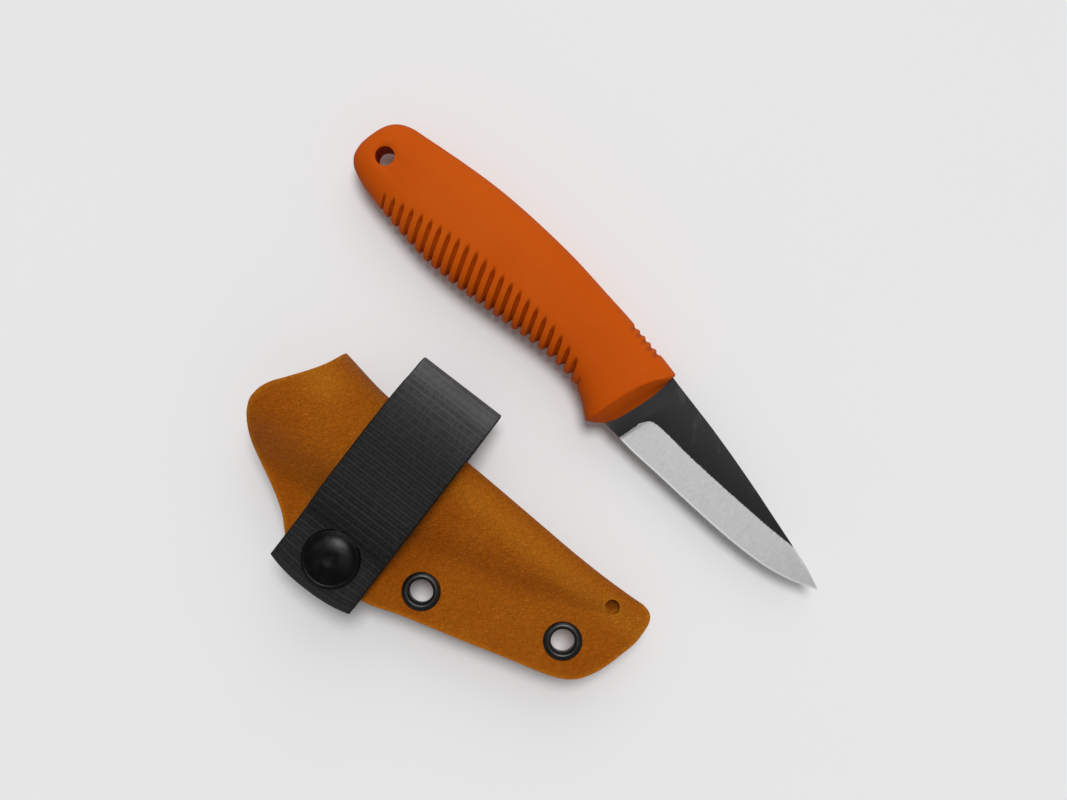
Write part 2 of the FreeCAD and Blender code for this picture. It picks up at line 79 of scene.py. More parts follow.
MM = 0.001
CAD_BOX = [list(corner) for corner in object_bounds()]

# ---------------------------------------------------------------- places, in millimetres
FOLD_Y = 12.472
STRAP_X = -15.6
HINGE = Vector(next(j for j in frame["joints"] if j["name"] == "strap_opens")["pos_m"])
SHEATH_ORIGIN = HINGE / MM - Vector((STRAP_X, FOLD_Y, 0))
KNIFE_TURN = math.radians(-17.2)
SCRATCH_TURN = -KNIFE_TURN - math.radians(12.5)
KNIFE_MIDDLE = 9.8
KNIFE_ORIGIN = Vector((SHEATH_ORIGIN.x + 32.1, SHEATH_ORIGIN.y + 56.7, KNIFE_MIDDLE))
MOUNTS = {mount["name"]: Vector(mount["pos_m"]) / MM for mount in frame["record"]["mounts"]}

# ---------------------------------------------------------------- outlines, in millimetres
# Blade: x in front of the handle, y above the origin of the spine.
SPINE = [(-8, -0.1), (0, -0.1), (10, 0.3), (20, 0.7), (30, 0.8), (40, 0.7), (50, 0.4), (60, 0.1), (68, -0.2),
         (75.8, -1.2)]
EDGE = [(-8, -24.4), (-0.5, -24.2), (4, -23.5), (5.5, -23.3), (10, -22.6), (20, -20.4), (30, -18.3),
        (40, -16.1), (50, -13.6), (60, -10.4), (65, -8.2), (70, -5.4), (73.5, -2.9), (75.8, -1.3)]
GRIND = [(4.2, -20.5), (4.6, -18.2), (5, -16.2), (5.6, -14.4), (6.4, -13.1), (7.6, -12.4), (10, -11.7),
         (20, -9.9), (30, -7.8), (40, -5.5), (50, -3.1), (56, -1.5), (60, -0.35), (62, 0.3), (75.8, 5.0)]
PLUNGE = (4.7, 5.9)
BLADE_END = 75.8
BLADE_HALF, EDGE_HALF = 1.5, 0.12
SPINE_ROUND, RICASSO_FOOT = 0.42, -12.0

# Handle: x, back, belly, half thickness; then its lines as (x, y) or (y, x), its fins and its thumb notches.
GRIP_BUTT, RIDGE_X = -110.35, -4.8
GRIP = [(GRIP_BUTT, -31.2, -31.2, 0), (-110.2, -28.6, -33.6, 1.6), (-109.4, -25.4, -37.1, 4.2),
        (-107.6, -22.7, -40.0, 6.1), (-104.5, -20.5, -41.6, 7.2), (-100, -18.7, -42.2, 7.7),
        (-97, -17.5, -42.4, 7.9), (-94, -16.4, -42.2, 8.1), (-88, -14.16, -41.9, 8.6),
        (-74, -9.58, -40.5, 9.3), (-60, -6.2, -37.3, 9.7), (-45, -3.4, -32.4, 9.7), (-32, -1.8, -28.1, 9.3),
        (-22, -0.6, -25.7, 9.0), (-15.5, -0.0, -25.1, 8.9), (-10.5, 0.4, -26.1, 9.1),
        (-6.5, 0.75, -27.9, 9.25), (-4.8, 0.85, -28.6, 9.2), (-1.0, 1.0, -29.4, 9.1)]
GRIP_POWER = 2.5
RIDGE = [(-30, -4.8), (-28.3, -4.8), (-19, -4.8), (-11.9, -4.3), (-5.8, -2.9), (-1.7, -1.3), (1.5, -0.9)]
JUNCTION = [(-25, -0.9), (-24.4, -0.9), (-20.8, 0.0), (-15.4, 0.5), (-10, 0.7), (-4.7, 0.36), (0, -0.5),
            (1, -0.6)]
RIB_TOPS = [(-100, -41.5), (-94, -39), (-88, -36.5), (-82, -33.8), (-76, -31.2), (-70, -29), (-64, -26.8),
            (-60.5, -26), (-38, -21.4), (-30, -20.5), (-22, -20.6), (-19, -21), (-16, -23.4), (-13, -27.5)]
RIB_X, RIB_Y = 0.844, 0.536
RIB_FIRST, RIB_PITCH, RIB_COUNT = -100.6, 3.18, 25
NOTCH_FIRST, NOTCH_PITCH, NOTCH_COUNT = -18.8, 2.5, 5

# Sheath: its edges from above as (x, y), then along x the height of the bulge, its foot and its crest.
MOUTH = [(-48.6, 3.7), (-49.8, -0.2), (-51.6, -3.8), (-54.4, -8.1), (-56.9, -11.6), (-59.8, -15.7),
         (-61.1, -19), (-61.4, -22), (-60.4, -25.4), (-57.9, -29.3), (-54.6, -32.7), (-49.8, -35.9),
         (-45, -38.5), (-40, -41.2), (-35, -44.5), (-31.5, -47.8), (-28, -51), (-22, -53)]
LOWER = [(-22, -53), (0, -50.5), (10, -47.3), (20, -44.5), (30, -41.8), (40, -38.9), (50, -36.2),
         (54, -35.1), (57.4, -33.9), (60.4, -32.4)]
TIP = [(65, -1.6), (67.4, -2.1), (68.9, -3.4), (69.7, -6), (69.9, -10), (68.4, -18), (66.6, -24),
       (64.6, -28), (62.7, -30.5), (60.4, -32.4)]
FOLD = [(-48.6, 3.7), (-31, 1), (-16, 0.3), (0, 0), (10, -0.4), (20, -0.9), (30, -1.4), (40, -1.9),
        (50, -2.1), (60, -1.9), (65, -1.6)]
FOLD_ABOVE = [(-66, 6.2), (-48.6, 3.7)] + FOLD[1:] + [(72, -1.0)]
BULGE_HALF = [(-64, 12), (-48, 12), (-31, 11.8), (-21, 11.6), (-16.8, 10), (-10.8, 6.9), (0, 4.7),
              (15, 4.25), (30, 4.1), (45, 3.9), (58, 3.1), (63, 2.5), (66, 2.3), (72, 2.2)]
BULGE_FOOT = [(-64, -41), (-48, -38.5), (-31, -37), (-16, -35), (-11, -32), (0, -29), (15, -25), (30, -21.5),
              (45, -16.8), (58, -10.5), (64, -7.5), (72, -6)]
BULGE_CREST = [(-64, -17), (-31, -17), (-16, -16.5), (0, -12), (30, -9), (45, -7.5), (58, -5.8), (72, -5)]
FLANGE_HALF, WALL = 2.15, 2.0
DRAIN = (58, -7.5, 2.25)
POCKET_GAP, FOLD_TUCK = 0.15, 0.4
EYELET_SEAT, EYELET_OUTER = 0.4, 5.75

# Strap: foot of the bulge, height over it and the y where it slopes towards the fold; the front leg's lift
# over the back one; inner height at the fold; thickness, width and length past the foot; bow of the ends.
FOOT_Y, BULGE_OVER, BULGE_FOLD = -34.988, 12.105, 0.972
STRAP_LIFT = 4.2
NOSE_RADIUS = 2.6
STRAP_THICKNESS, STRAP_WIDTH, STRAP_TAIL = 2.0, 28.6, 19.8
# the last value: reach of the painted highlight along the strap from its fold
STRAP_EDGE, STRAP_BOW, FOLD_HIGHLIGHT_REACH = 0.45, 1.9, 15.0


# ---------------------------------------------------------------- small helpers
def smooth_through(points):
    """Monotone cubic curve through (x, y) points, as a function of x."""
    xs, ys = (np.array(column, float) for column in zip(*points))
    steps, slopes = np.diff(xs), np.diff(ys) / np.diff(xs)
    tangents = np.empty_like(ys)
    tangents[0], tangents[-1] = slopes[0], slopes[-1]
    for i in range(1, len(xs) - 1):
        before, after = slopes[i - 1], slopes[i]
        if before * after <= 0:
            tangents[i] = 0.0
        else:
            near, far = 2 * steps[i] + steps[i - 1], steps[i] + 2 * steps[i - 1]
            tangents[i] = (near + far) / (near / before + far / after)

    def value(x):
        x = np.clip(np.asarray(x, float), xs[0], xs[-1])
        i = np.clip(np.searchsorted(xs, x) - 1, 0, len(xs) - 2)
        t = (x - xs[i]) / steps[i]
        return ((1 + 2 * t) * (1 - t) ** 2 * ys[i] + t * (1 - t) ** 2 * steps[i] * tangents[i]
                + t * t * (3 - 2 * t) * ys[i + 1] + t * t * (t - 1) * steps[i] * tangents[i + 1])
    return value


def ramp(value, low, high):
    """Smooth step from 0 at low to 1 at high."""
    t = np.clip((np.asarray(value, float) - low) / (high - low), 0, 1)
    return t * t * (3 - 2 * t)


def along_line(points, shares):
    """Points at shares of the length of a smooth line through (x, y) corners."""
    corners = np.array(points, float)
    lengths = np.concatenate([[0], np.cumsum(np.hypot(*np.diff(corners, axis=0).T))])
    fine = np.linspace(0, lengths[-1], 1200)
    line = np.stack([smooth_through(list(zip(lengths, corners[:, k])))(fine) for k in (0, 1)], axis=1)
    run = np.concatenate([[0], np.cumsum(np.hypot(*np.diff(line, axis=0).T))])
    return np.stack([np.interp(np.asarray(shares) * run[-1], run, line[:, k]) for k in (0, 1)], axis=1)


def knife_place(points):
    """Knife millimetres to the row frame."""
    cos, sin = math.cos(KNIFE_TURN), math.sin(KNIFE_TURN)
    x, y, z = np.moveaxis(np.asarray(points, float), -1, 0)
    return np.stack([cos * x - sin * y + KNIFE_ORIGIN.x, sin * x + cos * y + KNIFE_ORIGIN.y,
                     z + KNIFE_ORIGIN.z], axis=-1)


def sheath_place(points):
    """Sheath millimetres to the row frame."""
    return np.asarray(points, float) + np.array(SHEATH_ORIGIN)


def grid_faces(rows, columns, close_columns=False):
    """Quads of a grid of rows by columns, numbered row by row."""
    steps = columns if close_columns else columns - 1
    r, c = np.meshgrid(np.arange(rows - 1), np.arange(steps), indexing="ij")
    after = (c + 1) % columns
    return np.stack([r * columns + c, r * columns + after, (r + 1) * columns + after, (r + 1) * columns + c],
                    axis=-1).reshape(-1, 4).tolist()


def store_values(mesh, attributes):
    """Writes float attributes with one value for each point."""
    for label, values in attributes.items():
        layer = mesh.attributes.new(label, "FLOAT", "POINT")
        layer.data.foreach_set("value", np.asarray(values, np.float32).ravel())


def make_piece(name, points, faces, attributes=()):
    """Mesh object at the origin from points in row-frame millimetres, with float attributes."""
    mesh = bpy.data.meshes.new(name)
    mesh.from_pydata((np.asarray(points, float) * MM).tolist(), [], faces)
    store_values(mesh, dict(attributes))
    piece = bpy.data.objects.new(name, mesh)
    bpy.context.scene.collection.objects.link(piece)
    return piece


def tidy_mesh(piece, sharp=35.0, merge=1e-6):
    """Merges doubled points, turns the faces outwards, and shades smooth up to an angle."""
    work = bmesh.new()
    work.from_mesh(piece.data)
    bmesh.ops.remove_doubles(work, verts=work.verts, dist=merge)
    bmesh.ops.dissolve_degenerate(work, edges=work.edges, dist=merge / 2)
    bmesh.ops.recalc_face_normals(work, faces=work.faces)
    work.to_mesh(piece.data)
    work.free()
    piece.data.shade_smooth()
    piece.data.set_sharp_from_angle(angle=math.radians(sharp))


def freeze(piece):
    """Turns the piece's modifiers into plain mesh."""
    graph = bpy.context.evaluated_depsgraph_get()
    mesh = bpy.data.meshes.new_from_object(piece.evaluated_get(graph), preserve_all_data_layers=True,
                                           depsgraph=graph)
    piece.modifiers.clear()
    old, piece.data = piece.data, mesh
    bpy.data.meshes.remove(old)


def lathe(profile, segments, closed=True):
    """Points and faces of a profile of (radius, height) turned about z."""
    turns = np.linspace(0, 2 * math.pi, segments, endpoint=False)
    radius, height = (np.array(column, float) for column in zip(*profile))
    points = np.stack([np.outer(radius, np.cos(turns)), np.outer(radius, np.sin(turns)),
                       np.repeat(height[:, None], segments, axis=1)], axis=-1)
    faces = grid_faces(len(profile), segments, True)
    if closed:
        last = (len(profile) - 1) * segments
        faces += [[last + i, last + (i + 1) % segments, (i + 1) % segments, i] for i in range(segments)]
    return points.reshape(-1, 3), faces


def bore(piece, places, segments=64):
    """Cuts round holes along z: each place is (x, y, radius, low, high) in row-frame millimetres."""
    work = bmesh.new()
    for x, y, radius, low, high in places:
        bmesh.ops.create_cone(work, cap_ends=True, segments=segments, radius1=radius * MM,
                              radius2=radius * MM, depth=(high - low) * MM,
                              matrix=Matrix.Translation(Vector((x, y, (low + high) / 2)) * MM))
    mesh = bpy.data.meshes.new("hole_cutter")
    work.to_mesh(mesh)
    work.free()
    cutter = bpy.data.objects.new("hole_cutter", mesh)
    bpy.context.scene.collection.objects.link(cutter)
    cut = piece.modifiers.new("holes", "BOOLEAN")
    cut.object, cut.operation, cut.solver = cutter, "DIFFERENCE", "EXACT"
    freeze(piece)
    bpy.data.objects.remove(cutter)
    bpy.data.meshes.remove(mesh)


# ---------------------------------------------------------------- node helpers
def add(tree, kind, inputs=(), **settings):
    """New node with its settings; each input is a value or a socket to link."""
    node = tree.nodes.new(kind)
    for key, value in settings.items():
        setattr(node, key, value)
    for key, value in dict(inputs).items():
        if isinstance(value, bpy.types.NodeSocket):
            tree.links.new(value, node.inputs[key])
        else:
            node.inputs[key].default_value = value
    return node


def calc(tree, operation, *values):
    """Output of a Math node."""
    return add(tree, "ShaderNodeMath", dict(enumerate(values)), operation=operation).outputs[0]


def times(tree, first, second):
    """Product of two values."""
    return calc(tree, "MULTIPLY", first, second)


def between(tree, value, low, high, to_low=0.0, to_high=1.0):
    """Output of a smooth Map Range node."""
    return add(tree, "ShaderNodeMapRange", {
        "Value": value, "From Min": low, "From Max": high, "To Min": to_low, "To Max": to_high},
        interpolation_type="SMOOTHSTEP").outputs["Result"]


def blend_values(tree, share, first, second):
    """Output of a float Mix node."""
    return add(tree, "ShaderNodeMix", {"Factor": share, "A": first, "B": second},
               data_type="FLOAT").outputs[0]


def blend_colours(tree, share, first, second, strength=1.0):
    """Output of a colour Mix node, with its share weakened by a strength."""
    if strength != 1.0:
        share = times(tree, share, strength)
    node = add(tree, "ShaderNodeMix", {"Factor": share}, data_type="RGBA")
    for socket, value in ((node.inputs[6], first), (node.inputs[7], second)):
        if isinstance(value, bpy.types.NodeSocket):
            tree.links.new(value, socket)
        else:
            socket.default_value = colour(value)
    return node.outputs[2]


def colour(value):
    """RGBA from a red, green, blue triple."""
    return (*tuple(value)[:3], 1.0)


def shade(red, green, blue):
    """Linear colour from display levels of 0 to 255."""
    levels = [level / 255 for level in (red, green, blue)]
    return tuple(v / 12.92 if v <= 0.04045 else ((v + 0.055) / 1.055) ** 2.4 for v in levels)


def float_attribute(tree, name):
    """Factor output of a piece's own float attribute."""
    return add(tree, "ShaderNodeAttribute", attribute_name=name, attribute_type="GEOMETRY").outputs["Fac"]


def turned_position(tree, turn=0.0, scale=(1, 1, 1)):
    """Object coordinates turned about z and then stretched."""
    place = add(tree, "ShaderNodeTexCoord").outputs["Object"]
    turned = add(tree, "ShaderNodeVectorRotate", {"Vector": place, "Angle": turn},
                 rotation_type="Z_AXIS").outputs[0]
    return add(tree, "ShaderNodeVectorMath", {0: turned, 1: scale}, operation="MULTIPLY").outputs[0]


def noise(tree, place, scale, detail, roughness=0.5):
    """Noise Texture node."""
    return add(tree, "ShaderNodeTexNoise", {"Vector": place, "Scale": scale, "Detail": detail,
                                            "Roughness": roughness})


# ---------------------------------------------------------------- shared effects
def new_group(name, inputs, outputs):
    """Empty shader group (an input without a default is a vector); gives the tree, inputs and outputs."""
    tree = bpy.data.node_groups.new(name, "ShaderNodeTree")
    for label, default in inputs.items():
        kind = "NodeSocketVector" if default is None else "NodeSocketFloat"
        socket = tree.interface.new_socket(name=label, in_out="INPUT", socket_type=kind)
        if default is not None:
            socket.default_value = default
    for label in outputs:
        tree.interface.new_socket(name=label, in_out="OUTPUT", socket_type="NodeSocketFloat")
    return tree, tree.nodes.new("NodeGroupInput").outputs, tree.nodes.new("NodeGroupOutput").inputs


def make_effect_groups():
    """Fine grain, soft patches, wrinkles and scratches that several materials use."""
    tree, given, out = new_group("fine_grain", {"Place": None, "Size": 0.001, "Detail": 4.0}, ["Height"])
    grain = noise(tree, given["Place"], calc(tree, "DIVIDE", 1.0, given["Size"]), given["Detail"], 0.6)
    tree.links.new(grain.outputs["Fac"], out["Height"])

    tree, given, out = new_group("soft_patches", {"Place": None, "Size": 0.02, "Low": 0.35, "High": 0.65},
                                 ["Mask"])
    cloud = noise(tree, given["Place"], calc(tree, "DIVIDE", 1.0, given["Size"]), 3.0, 0.55)
    tree.links.new(between(tree, cloud.outputs["Fac"], given["Low"], given["High"]), out["Mask"])

    tree, given, out = new_group("wrinkled_hide", {"Place": None, "Size": 0.001, "Warp": 0.35}, ["Height"])
    rate = calc(tree, "DIVIDE", 1.0, given["Size"])
    push = noise(tree, given["Place"], times(tree, rate, 0.6), 2.0)
    centred = add(tree, "ShaderNodeVectorMath", {0: push.outputs["Color"], 1: (0.5, 0.5, 0.5)},
                  operation="SUBTRACT").outputs[0]
    reach = times(tree, given["Warp"], times(tree, given["Size"], 4.0))
    moved = add(tree, "ShaderNodeVectorMath", {0: centred, "Scale": reach}, operation="SCALE").outputs[0]
    place = add(tree, "ShaderNodeVectorMath", {0: given["Place"], 1: moved}, operation="ADD").outputs[0]
    cells = add(tree, "ShaderNodeTexVoronoi", {"Vector": place, "Scale": rate}, feature="DISTANCE_TO_EDGE")
    creases = between(tree, cells.outputs["Distance"], 0.0, 0.28)
    fine = noise(tree, place, times(tree, rate, 1.7), 4.0, 0.65)
    height = calc(tree, "ADD", times(tree, creases, 0.16), times(tree, fine.outputs["Fac"], 1.2))
    tree.links.new(height, out["Height"])

    tree, given, out = new_group("hair_scratches", {"Place": None, "Low": 0.55, "High": 0.75},
                                 ["Mask", "Streaks"])
    streaks = noise(tree, given["Place"], 1.0, 5.0, 0.75).outputs["Fac"]
    tree.links.new(between(tree, streaks, given["Low"], given["High"]), out["Mask"])
    tree.links.new(streaks, out["Streaks"])


def use_group(tree, name, **inputs):
    """Places a shared group in a material and gives its outputs."""
    node = add(tree, "ShaderNodeGroup", node_tree=bpy.data.node_groups[name])
    for key, value in inputs.items():
        if isinstance(value, bpy.types.NodeSocket):
            tree.links.new(value, node.inputs[key])
        else:
            node.inputs[key].default_value = value
    return node.outputs


def grain_of(tree, place, size, detail):
    """Height of a fine grain."""
    return use_group(tree, "fine_grain", Place=place, Size=size, Detail=detail)["Height"]


def patches(tree, place, size, low, high):
    """Mask of soft patches."""
    return use_group(tree, "soft_patches", Place=place, Size=size, Low=low, High=high)["Mask"]


def scratches(tree, turn, stretch, low, high):
    """Outputs of the fine scratches that run along a turned direction."""
    return use_group(tree, "hair_scratches", Place=turned_position(tree, turn, stretch), Low=low, High=high)


# ---------------------------------------------------------------- materials
def new_material(name, roughness=0.5, metallic=0.0, specular=0.5):
    """Material with its tree and its Principled shader."""
    material = bpy.data.materials.new(name)
    material.use_nodes = True
    shader = material.node_tree.nodes["Principled BSDF"]
    for label, value in (("Roughness", roughness), ("Metallic", metallic), ("Specular IOR Level", specular)):
        shader.inputs[label].default_value = value
    return material, material.node_tree, shader


def surface(tree, shader, body, rough, height, distance, strength):
    """Links a colour, a roughness and the bump of a height to the shader."""
    bump = add(tree, "ShaderNodeBump", {"Height": height, "Distance": distance, "Strength": strength})
    for label, value in (("Base Color", body), ("Roughness", rough), ("Normal", bump.outputs["Normal"])):
        tree.links.new(value, shader.inputs[label])


def coated_blade_material(look):
    """Black coat, bare satin steel below the grind line, with a hair-scratched border between them."""
    material, tree, shader = new_material("coated_and_ground_steel", specular=0.12)
    place = turned_position(tree)
    below = float_attribute(tree, "below_grind")
    hairs = scratches(tree, SCRATCH_TURN, (9000, 420, 2000), 0.42, 0.62)
    long_hairs = scratches(tree, SCRATCH_TURN, (3800, 160, 900), 0.5, 0.72)
    fuzz = times(tree, calc(tree, "SUBTRACT", hairs["Streaks"], 0.5), 1.5)
    bare = between(tree, calc(tree, "ADD", below, fuzz), -0.14, 0.2)
    coat = blend_colours(tree, between(tree, below, -11.0, 0.0), look.coat_light, look.coat_dark)
    smudge = patches(tree, turned_position(tree, 0.9, (1, 2.6, 1)), 0.009, 0.56, 0.74)
    coat = blend_colours(tree, smudge, coat, look.coat_smudge, 0.2)
    steel = blend_colours(tree, hairs["Mask"], look.steel_dark, look.steel_light)
    steel = blend_colours(tree, long_hairs["Mask"], steel, look.steel_light, 0.5)
    steel = blend_colours(tree, patches(tree, place, 0.028, 0.35, 0.7), steel, look.steel_dark, 0.2)
    honed = between(tree, float_attribute(tree, "above_edge"), 0.75, 0.45)
    steel = blend_colours(tree, honed, steel, shade(222, 222, 220), 0.6)
    tree.links.new(times(tree, bare, 0.5), shader.inputs["Metallic"])
    rough = blend_values(tree, bare, between(tree, smudge, 0.0, 1.0, 0.52, 0.42),
                         between(tree, hairs["Streaks"], 0.3, 0.7, 0.44, 0.58))
    grain = times(tree, grain_of(tree, place, 0.00028, 3.0), 0.7)
    height = blend_values(tree, bare, grain, hairs["Streaks"])
    surface(tree, shader, blend_colours(tree, bare, coat, steel), rough, height, 0.000015, 0.5)
    return material


def grip_rubber_material(look):
    """Matte moulded rubber with fine speckle, and painted shade deep in its grooves."""
    material, tree, shader = new_material("moulded_rubber", specular=0.06)
    place = turned_position(tree)
    speckle = grain_of(tree, place, 0.00045, 5.0)
    body = blend_colours(tree, patches(tree, place, 0.03, 0.3, 0.7), look.rubber_light, look.rubber)
    body = blend_colours(tree, between(tree, speckle, 0.58, 0.78, 0.0, 0.16), body, look.rubber_groove)
    # painted shade: darkens the rubber deep in the grooves
    body = blend_colours(tree, float_attribute(tree, "groove"), body, look.rubber_groove, 0.3)
    surface(tree, shader, body, between(tree, speckle, 0.3, 0.7, 0.62, 0.78), speckle, 0.00005, 0.5)
    return material


def sheath_hide_material(look):
    """Wrinkled tan sheet, darker in its creases, paler in patches and along its cut edges; painted shade at the
    foot of its bulge and inside its drain hole, painted light along its fold and at its mouth, and a painted
    highlight round its drain hole.
    """
    material, tree, shader = new_material("wrinkled_sheet", specular=0.10)
    grain = use_group(tree, "wrinkled_hide", Place=turned_position(tree, 0.5, (1.0, 0.6, 1.0)), Size=0.00075,
                      Warp=0.6)["Height"]
    mottle = times(tree, patches(tree, turned_position(tree), 0.024, 0.32, 0.68), 0.35)
    # paler in random patches, and painted light along the fold and at the mouth
    faded = calc(tree, "MAXIMUM", mottle, float_attribute(tree, "faded"))
    body = blend_colours(tree, faded, look.hide, look.hide_light)
    body = blend_colours(tree, between(tree, grain, 0.9, 0.5, 0.0, 0.3), body, look.hide_crease_and_shade)
    # painted shade at the foot of the bulge and inside the drain hole
    body = blend_colours(tree, float_attribute(tree, "valley"), body, look.hide_crease_and_shade)
    # paler along the cut edges, and a painted highlight round the drain hole
    body = blend_colours(tree, float_attribute(tree, "rim"), body, look.hide_light, 0.5)
    surface(tree, shader, body, between(tree, grain, 0.4, 1.1, 0.62, 0.42), grain, 0.0007, 1.0)
    return material


def strap_web_material(look):
    """Charcoal coated webbing, with a painted highlight towards its fold, painted shade in the grooves between its
    ribs, and darker side edges.
    """
    material, tree, shader = new_material("coated_webbing", specular=0.14)
    place = turned_position(tree)
    threads = scratches(tree, 0.0, (1500, 4200, 1500), 0.35, 0.7)
    near_fold = float_attribute(tree, "towards_fold")
    # painted highlight towards the fold
    body = blend_colours(tree, near_fold, look.web_dark, look.web_light)
    body = blend_colours(tree, patches(tree, place, 0.012, 0.3, 0.7), body, look.web_dark, 0.25)
    body = blend_colours(tree, threads["Mask"], body, look.web_light, 0.18)
    stitches = add(tree, "ShaderNodeTexWave", {
        "Vector": place, "Scale": 130.0, "Distortion": 16.0, "Detail": 3.0, "Detail Scale": 1.2},
        bands_direction="X", wave_profile="SIN").outputs["Fac"]
    broken = between(tree, stitches, 0.2, 0.8, 0.3, 0.62)
    # near the fold the painted highlight weakens the painted groove shade
    painted = calc(tree, "SUBTRACT", 1.0, times(tree, near_fold, 0.6))
    # painted shade in the grooves between the ribs, broken into dashes
    deep = times(tree, times(tree, float_attribute(tree, "groove"), broken), painted)
    # darker along the side edges
    deep = calc(tree, "MAXIMUM", deep, times(tree, float_attribute(tree, "selvedge"), 0.9))
    body = blend_colours(tree, deep, body, look.web_groove)
    weave = calc(tree, "ADD", times(tree, stitches, 0.35), threads["Streaks"])
    surface(tree, shader, body, between(tree, threads["Streaks"], 0.3, 0.7, 0.55, 0.72), weave, 0.0001, 0.8)
    return material


def lacquer_material(name, body_colour, worn_colour, gloss, specular):
    """Black lacquered metal with a few fine scratches and a dusty bloom."""
    material, tree, shader = new_material(name, specular=specular)
    place = turned_position(tree)
    hairs = scratches(tree, 0.7, (2600, 260, 900), 0.6, 0.8)
    bloom = patches(tree, place, 0.004, 0.4, 0.75)
    share = calc(tree, "ADD", times(tree, hairs["Mask"], 0.3), times(tree, bloom, 0.25))
    body = blend_colours(tree, share, body_colour, worn_colour)
    rough = between(tree, bloom, 0.0, 1.0, gloss, gloss + 0.12)
    surface(tree, shader, body, rough, grain_of(tree, place, 0.0006, 2.0), 0.00002, 0.5)
    return material


def nickel_material(look):
    """Plain nickel plate with turning marks."""
    material, tree, shader = new_material("nickel_plate", metallic=1.0)
    streaks = scratches(tree, 0.3, (3200, 500, 3200), 0.4, 0.7)["Streaks"]
    spots = patches(tree, turned_position(tree), 0.003, 0.35, 0.7)
    body = blend_colours(tree, spots, look.nickel, shade(168, 164, 156))
    surface(tree, shader, body, between(tree, streaks, 0.3, 0.7, 0.22, 0.4), streaks, 0.00002, 0.5)
    return material


def floor_material(look):
    """Plain pale paper with the faintest mottle."""
    material, tree, shader = new_material("pale_paper", roughness=0.9, specular=0.1)
    mottle = patches(tree, turned_position(tree), 0.3, 0.3, 0.7)
    tone = blend_colours(tree, mottle, look.floor, tuple(v * 0.99 for v in look.floor))
    tree.links.new(tone, shader.inputs["Base Color"])
    return material


# ---------------------------------------------------------------- geometry node trees
def new_geometry_tree(name, sockets):
    """Empty geometry tree with its sockets; gives the tree and its inputs."""
    tree = bpy.data.node_groups.new(name, "GeometryNodeTree")
    for label, kind in sockets.items():
        tree.interface.new_socket(name=label, in_out="INPUT", socket_type="NodeSocket" + kind)
    tree.interface.new_socket(name="Geometry", in_out="OUTPUT", socket_type="NodeSocketGeometry")
    return tree, tree.nodes.new("NodeGroupInput").outputs


def close_geometry_tree(tree, given, geometry):
    """Ends a geometry tree with real instances and their material."""
    real = add(tree, "GeometryNodeRealizeInstances", {"Geometry": geometry})
    done = add(tree, "GeometryNodeSetMaterial", {"Geometry": real.outputs["Geometry"],
                                                 "Material": given["Material"]})
    out = tree.nodes.new("NodeGroupOutput")
    tree.links.new(done.outputs["Geometry"], out.inputs["Geometry"])


def named_value(tree, name):
    """Output of a Named Attribute node."""
    node = add(tree, "GeometryNodeInputNamedAttribute", {"Name": name}, data_type="FLOAT")
    return node.outputs["Attribute"]


def groove_tree():
    """Rounded grooves at an even pitch, cut along the surface's normal where a zone attribute allows."""
    tree, given = new_geometry_tree("cut_grooves", {
        "Geometry": "Geometry", "Along": "String", "Zone": "String", "Pitch": "Float", "First": "Float",
        "Groove share": "Float", "Depth": "Float", "Round": "Float", "Material": "Material"})
    along, zone = named_value(tree, given["Along"]), named_value(tree, given["Zone"])
    turns = calc(tree, "DIVIDE", calc(tree, "SUBTRACT", along, given["First"]), given["Pitch"])
    off_middle = calc(tree, "ABSOLUTE", calc(tree, "SUBTRACT", calc(tree, "FRACT", turns), 0.5))
    across = calc(tree, "DIVIDE", off_middle, times(tree, given["Groove share"], 0.5))
    opened = calc(tree, "MAXIMUM", calc(tree, "SUBTRACT", zone, times(tree, across, across)), 0.0)
    share = calc(tree, "POWER", opened, 0.8)
    crest = calc(tree, "SUBTRACT", 1.0, times(tree, off_middle, 2.0))
    sunk = times(tree, times(tree, crest, crest), times(tree, given["Round"], zone))
    depth = calc(tree, "ADD", times(tree, share, given["Depth"]), sunk)
    normal = add(tree, "GeometryNodeInputNormal").outputs[0]
    offset = add(tree, "ShaderNodeVectorMath", {0: normal, "Scale": times(tree, depth, -1.0)},
                 operation="SCALE")
    deepest = calc(tree, "MAXIMUM", named_value(tree, "groove"), share)
    stored = add(tree, "GeometryNodeStoreNamedAttribute", {
        "Geometry": given["Geometry"], "Name": "groove", "Value": deepest}, data_type="FLOAT", domain="POINT")
    moved = add(tree, "GeometryNodeSetPosition", {"Geometry": stored.outputs["Geometry"],
                                                  "Offset": offset.outputs[0]})
    close_geometry_tree(tree, given, moved.outputs["Geometry"])


def placing_tree():
    """Copies of one object on the points of a mesh."""
    tree, given = new_geometry_tree("place_copies", {"Geometry": "Geometry", "Copy": "Object",
                                                     "Material": "Material"})
    copied = add(tree, "GeometryNodeObjectInfo", {"Object": given["Copy"]})
    points = add(tree, "GeometryNodeMeshToPoints", {"Mesh": given["Geometry"]})
    placed = add(tree, "GeometryNodeInstanceOnPoints", {"Points": points.outputs["Points"],
                                                        "Instance": copied.outputs["Geometry"]})
    close_geometry_tree(tree, given, placed.outputs["Instances"])


def run_tree(piece, tree_name, **inputs):
    """Adds a geometry tree with its inputs set by identifier, and turns the result into plain mesh."""
    modifier = piece.modifiers.new(tree_name, "NODES")
    modifier.node_group = bpy.data.node_groups[tree_name]
    for item in modifier.node_group.interface.items_tree:
        key = item.name.replace(" ", "_").lower()
        if item.in_out == "INPUT" and key in inputs:
            modifier[item.identifier] = inputs[key]
    freeze(piece)


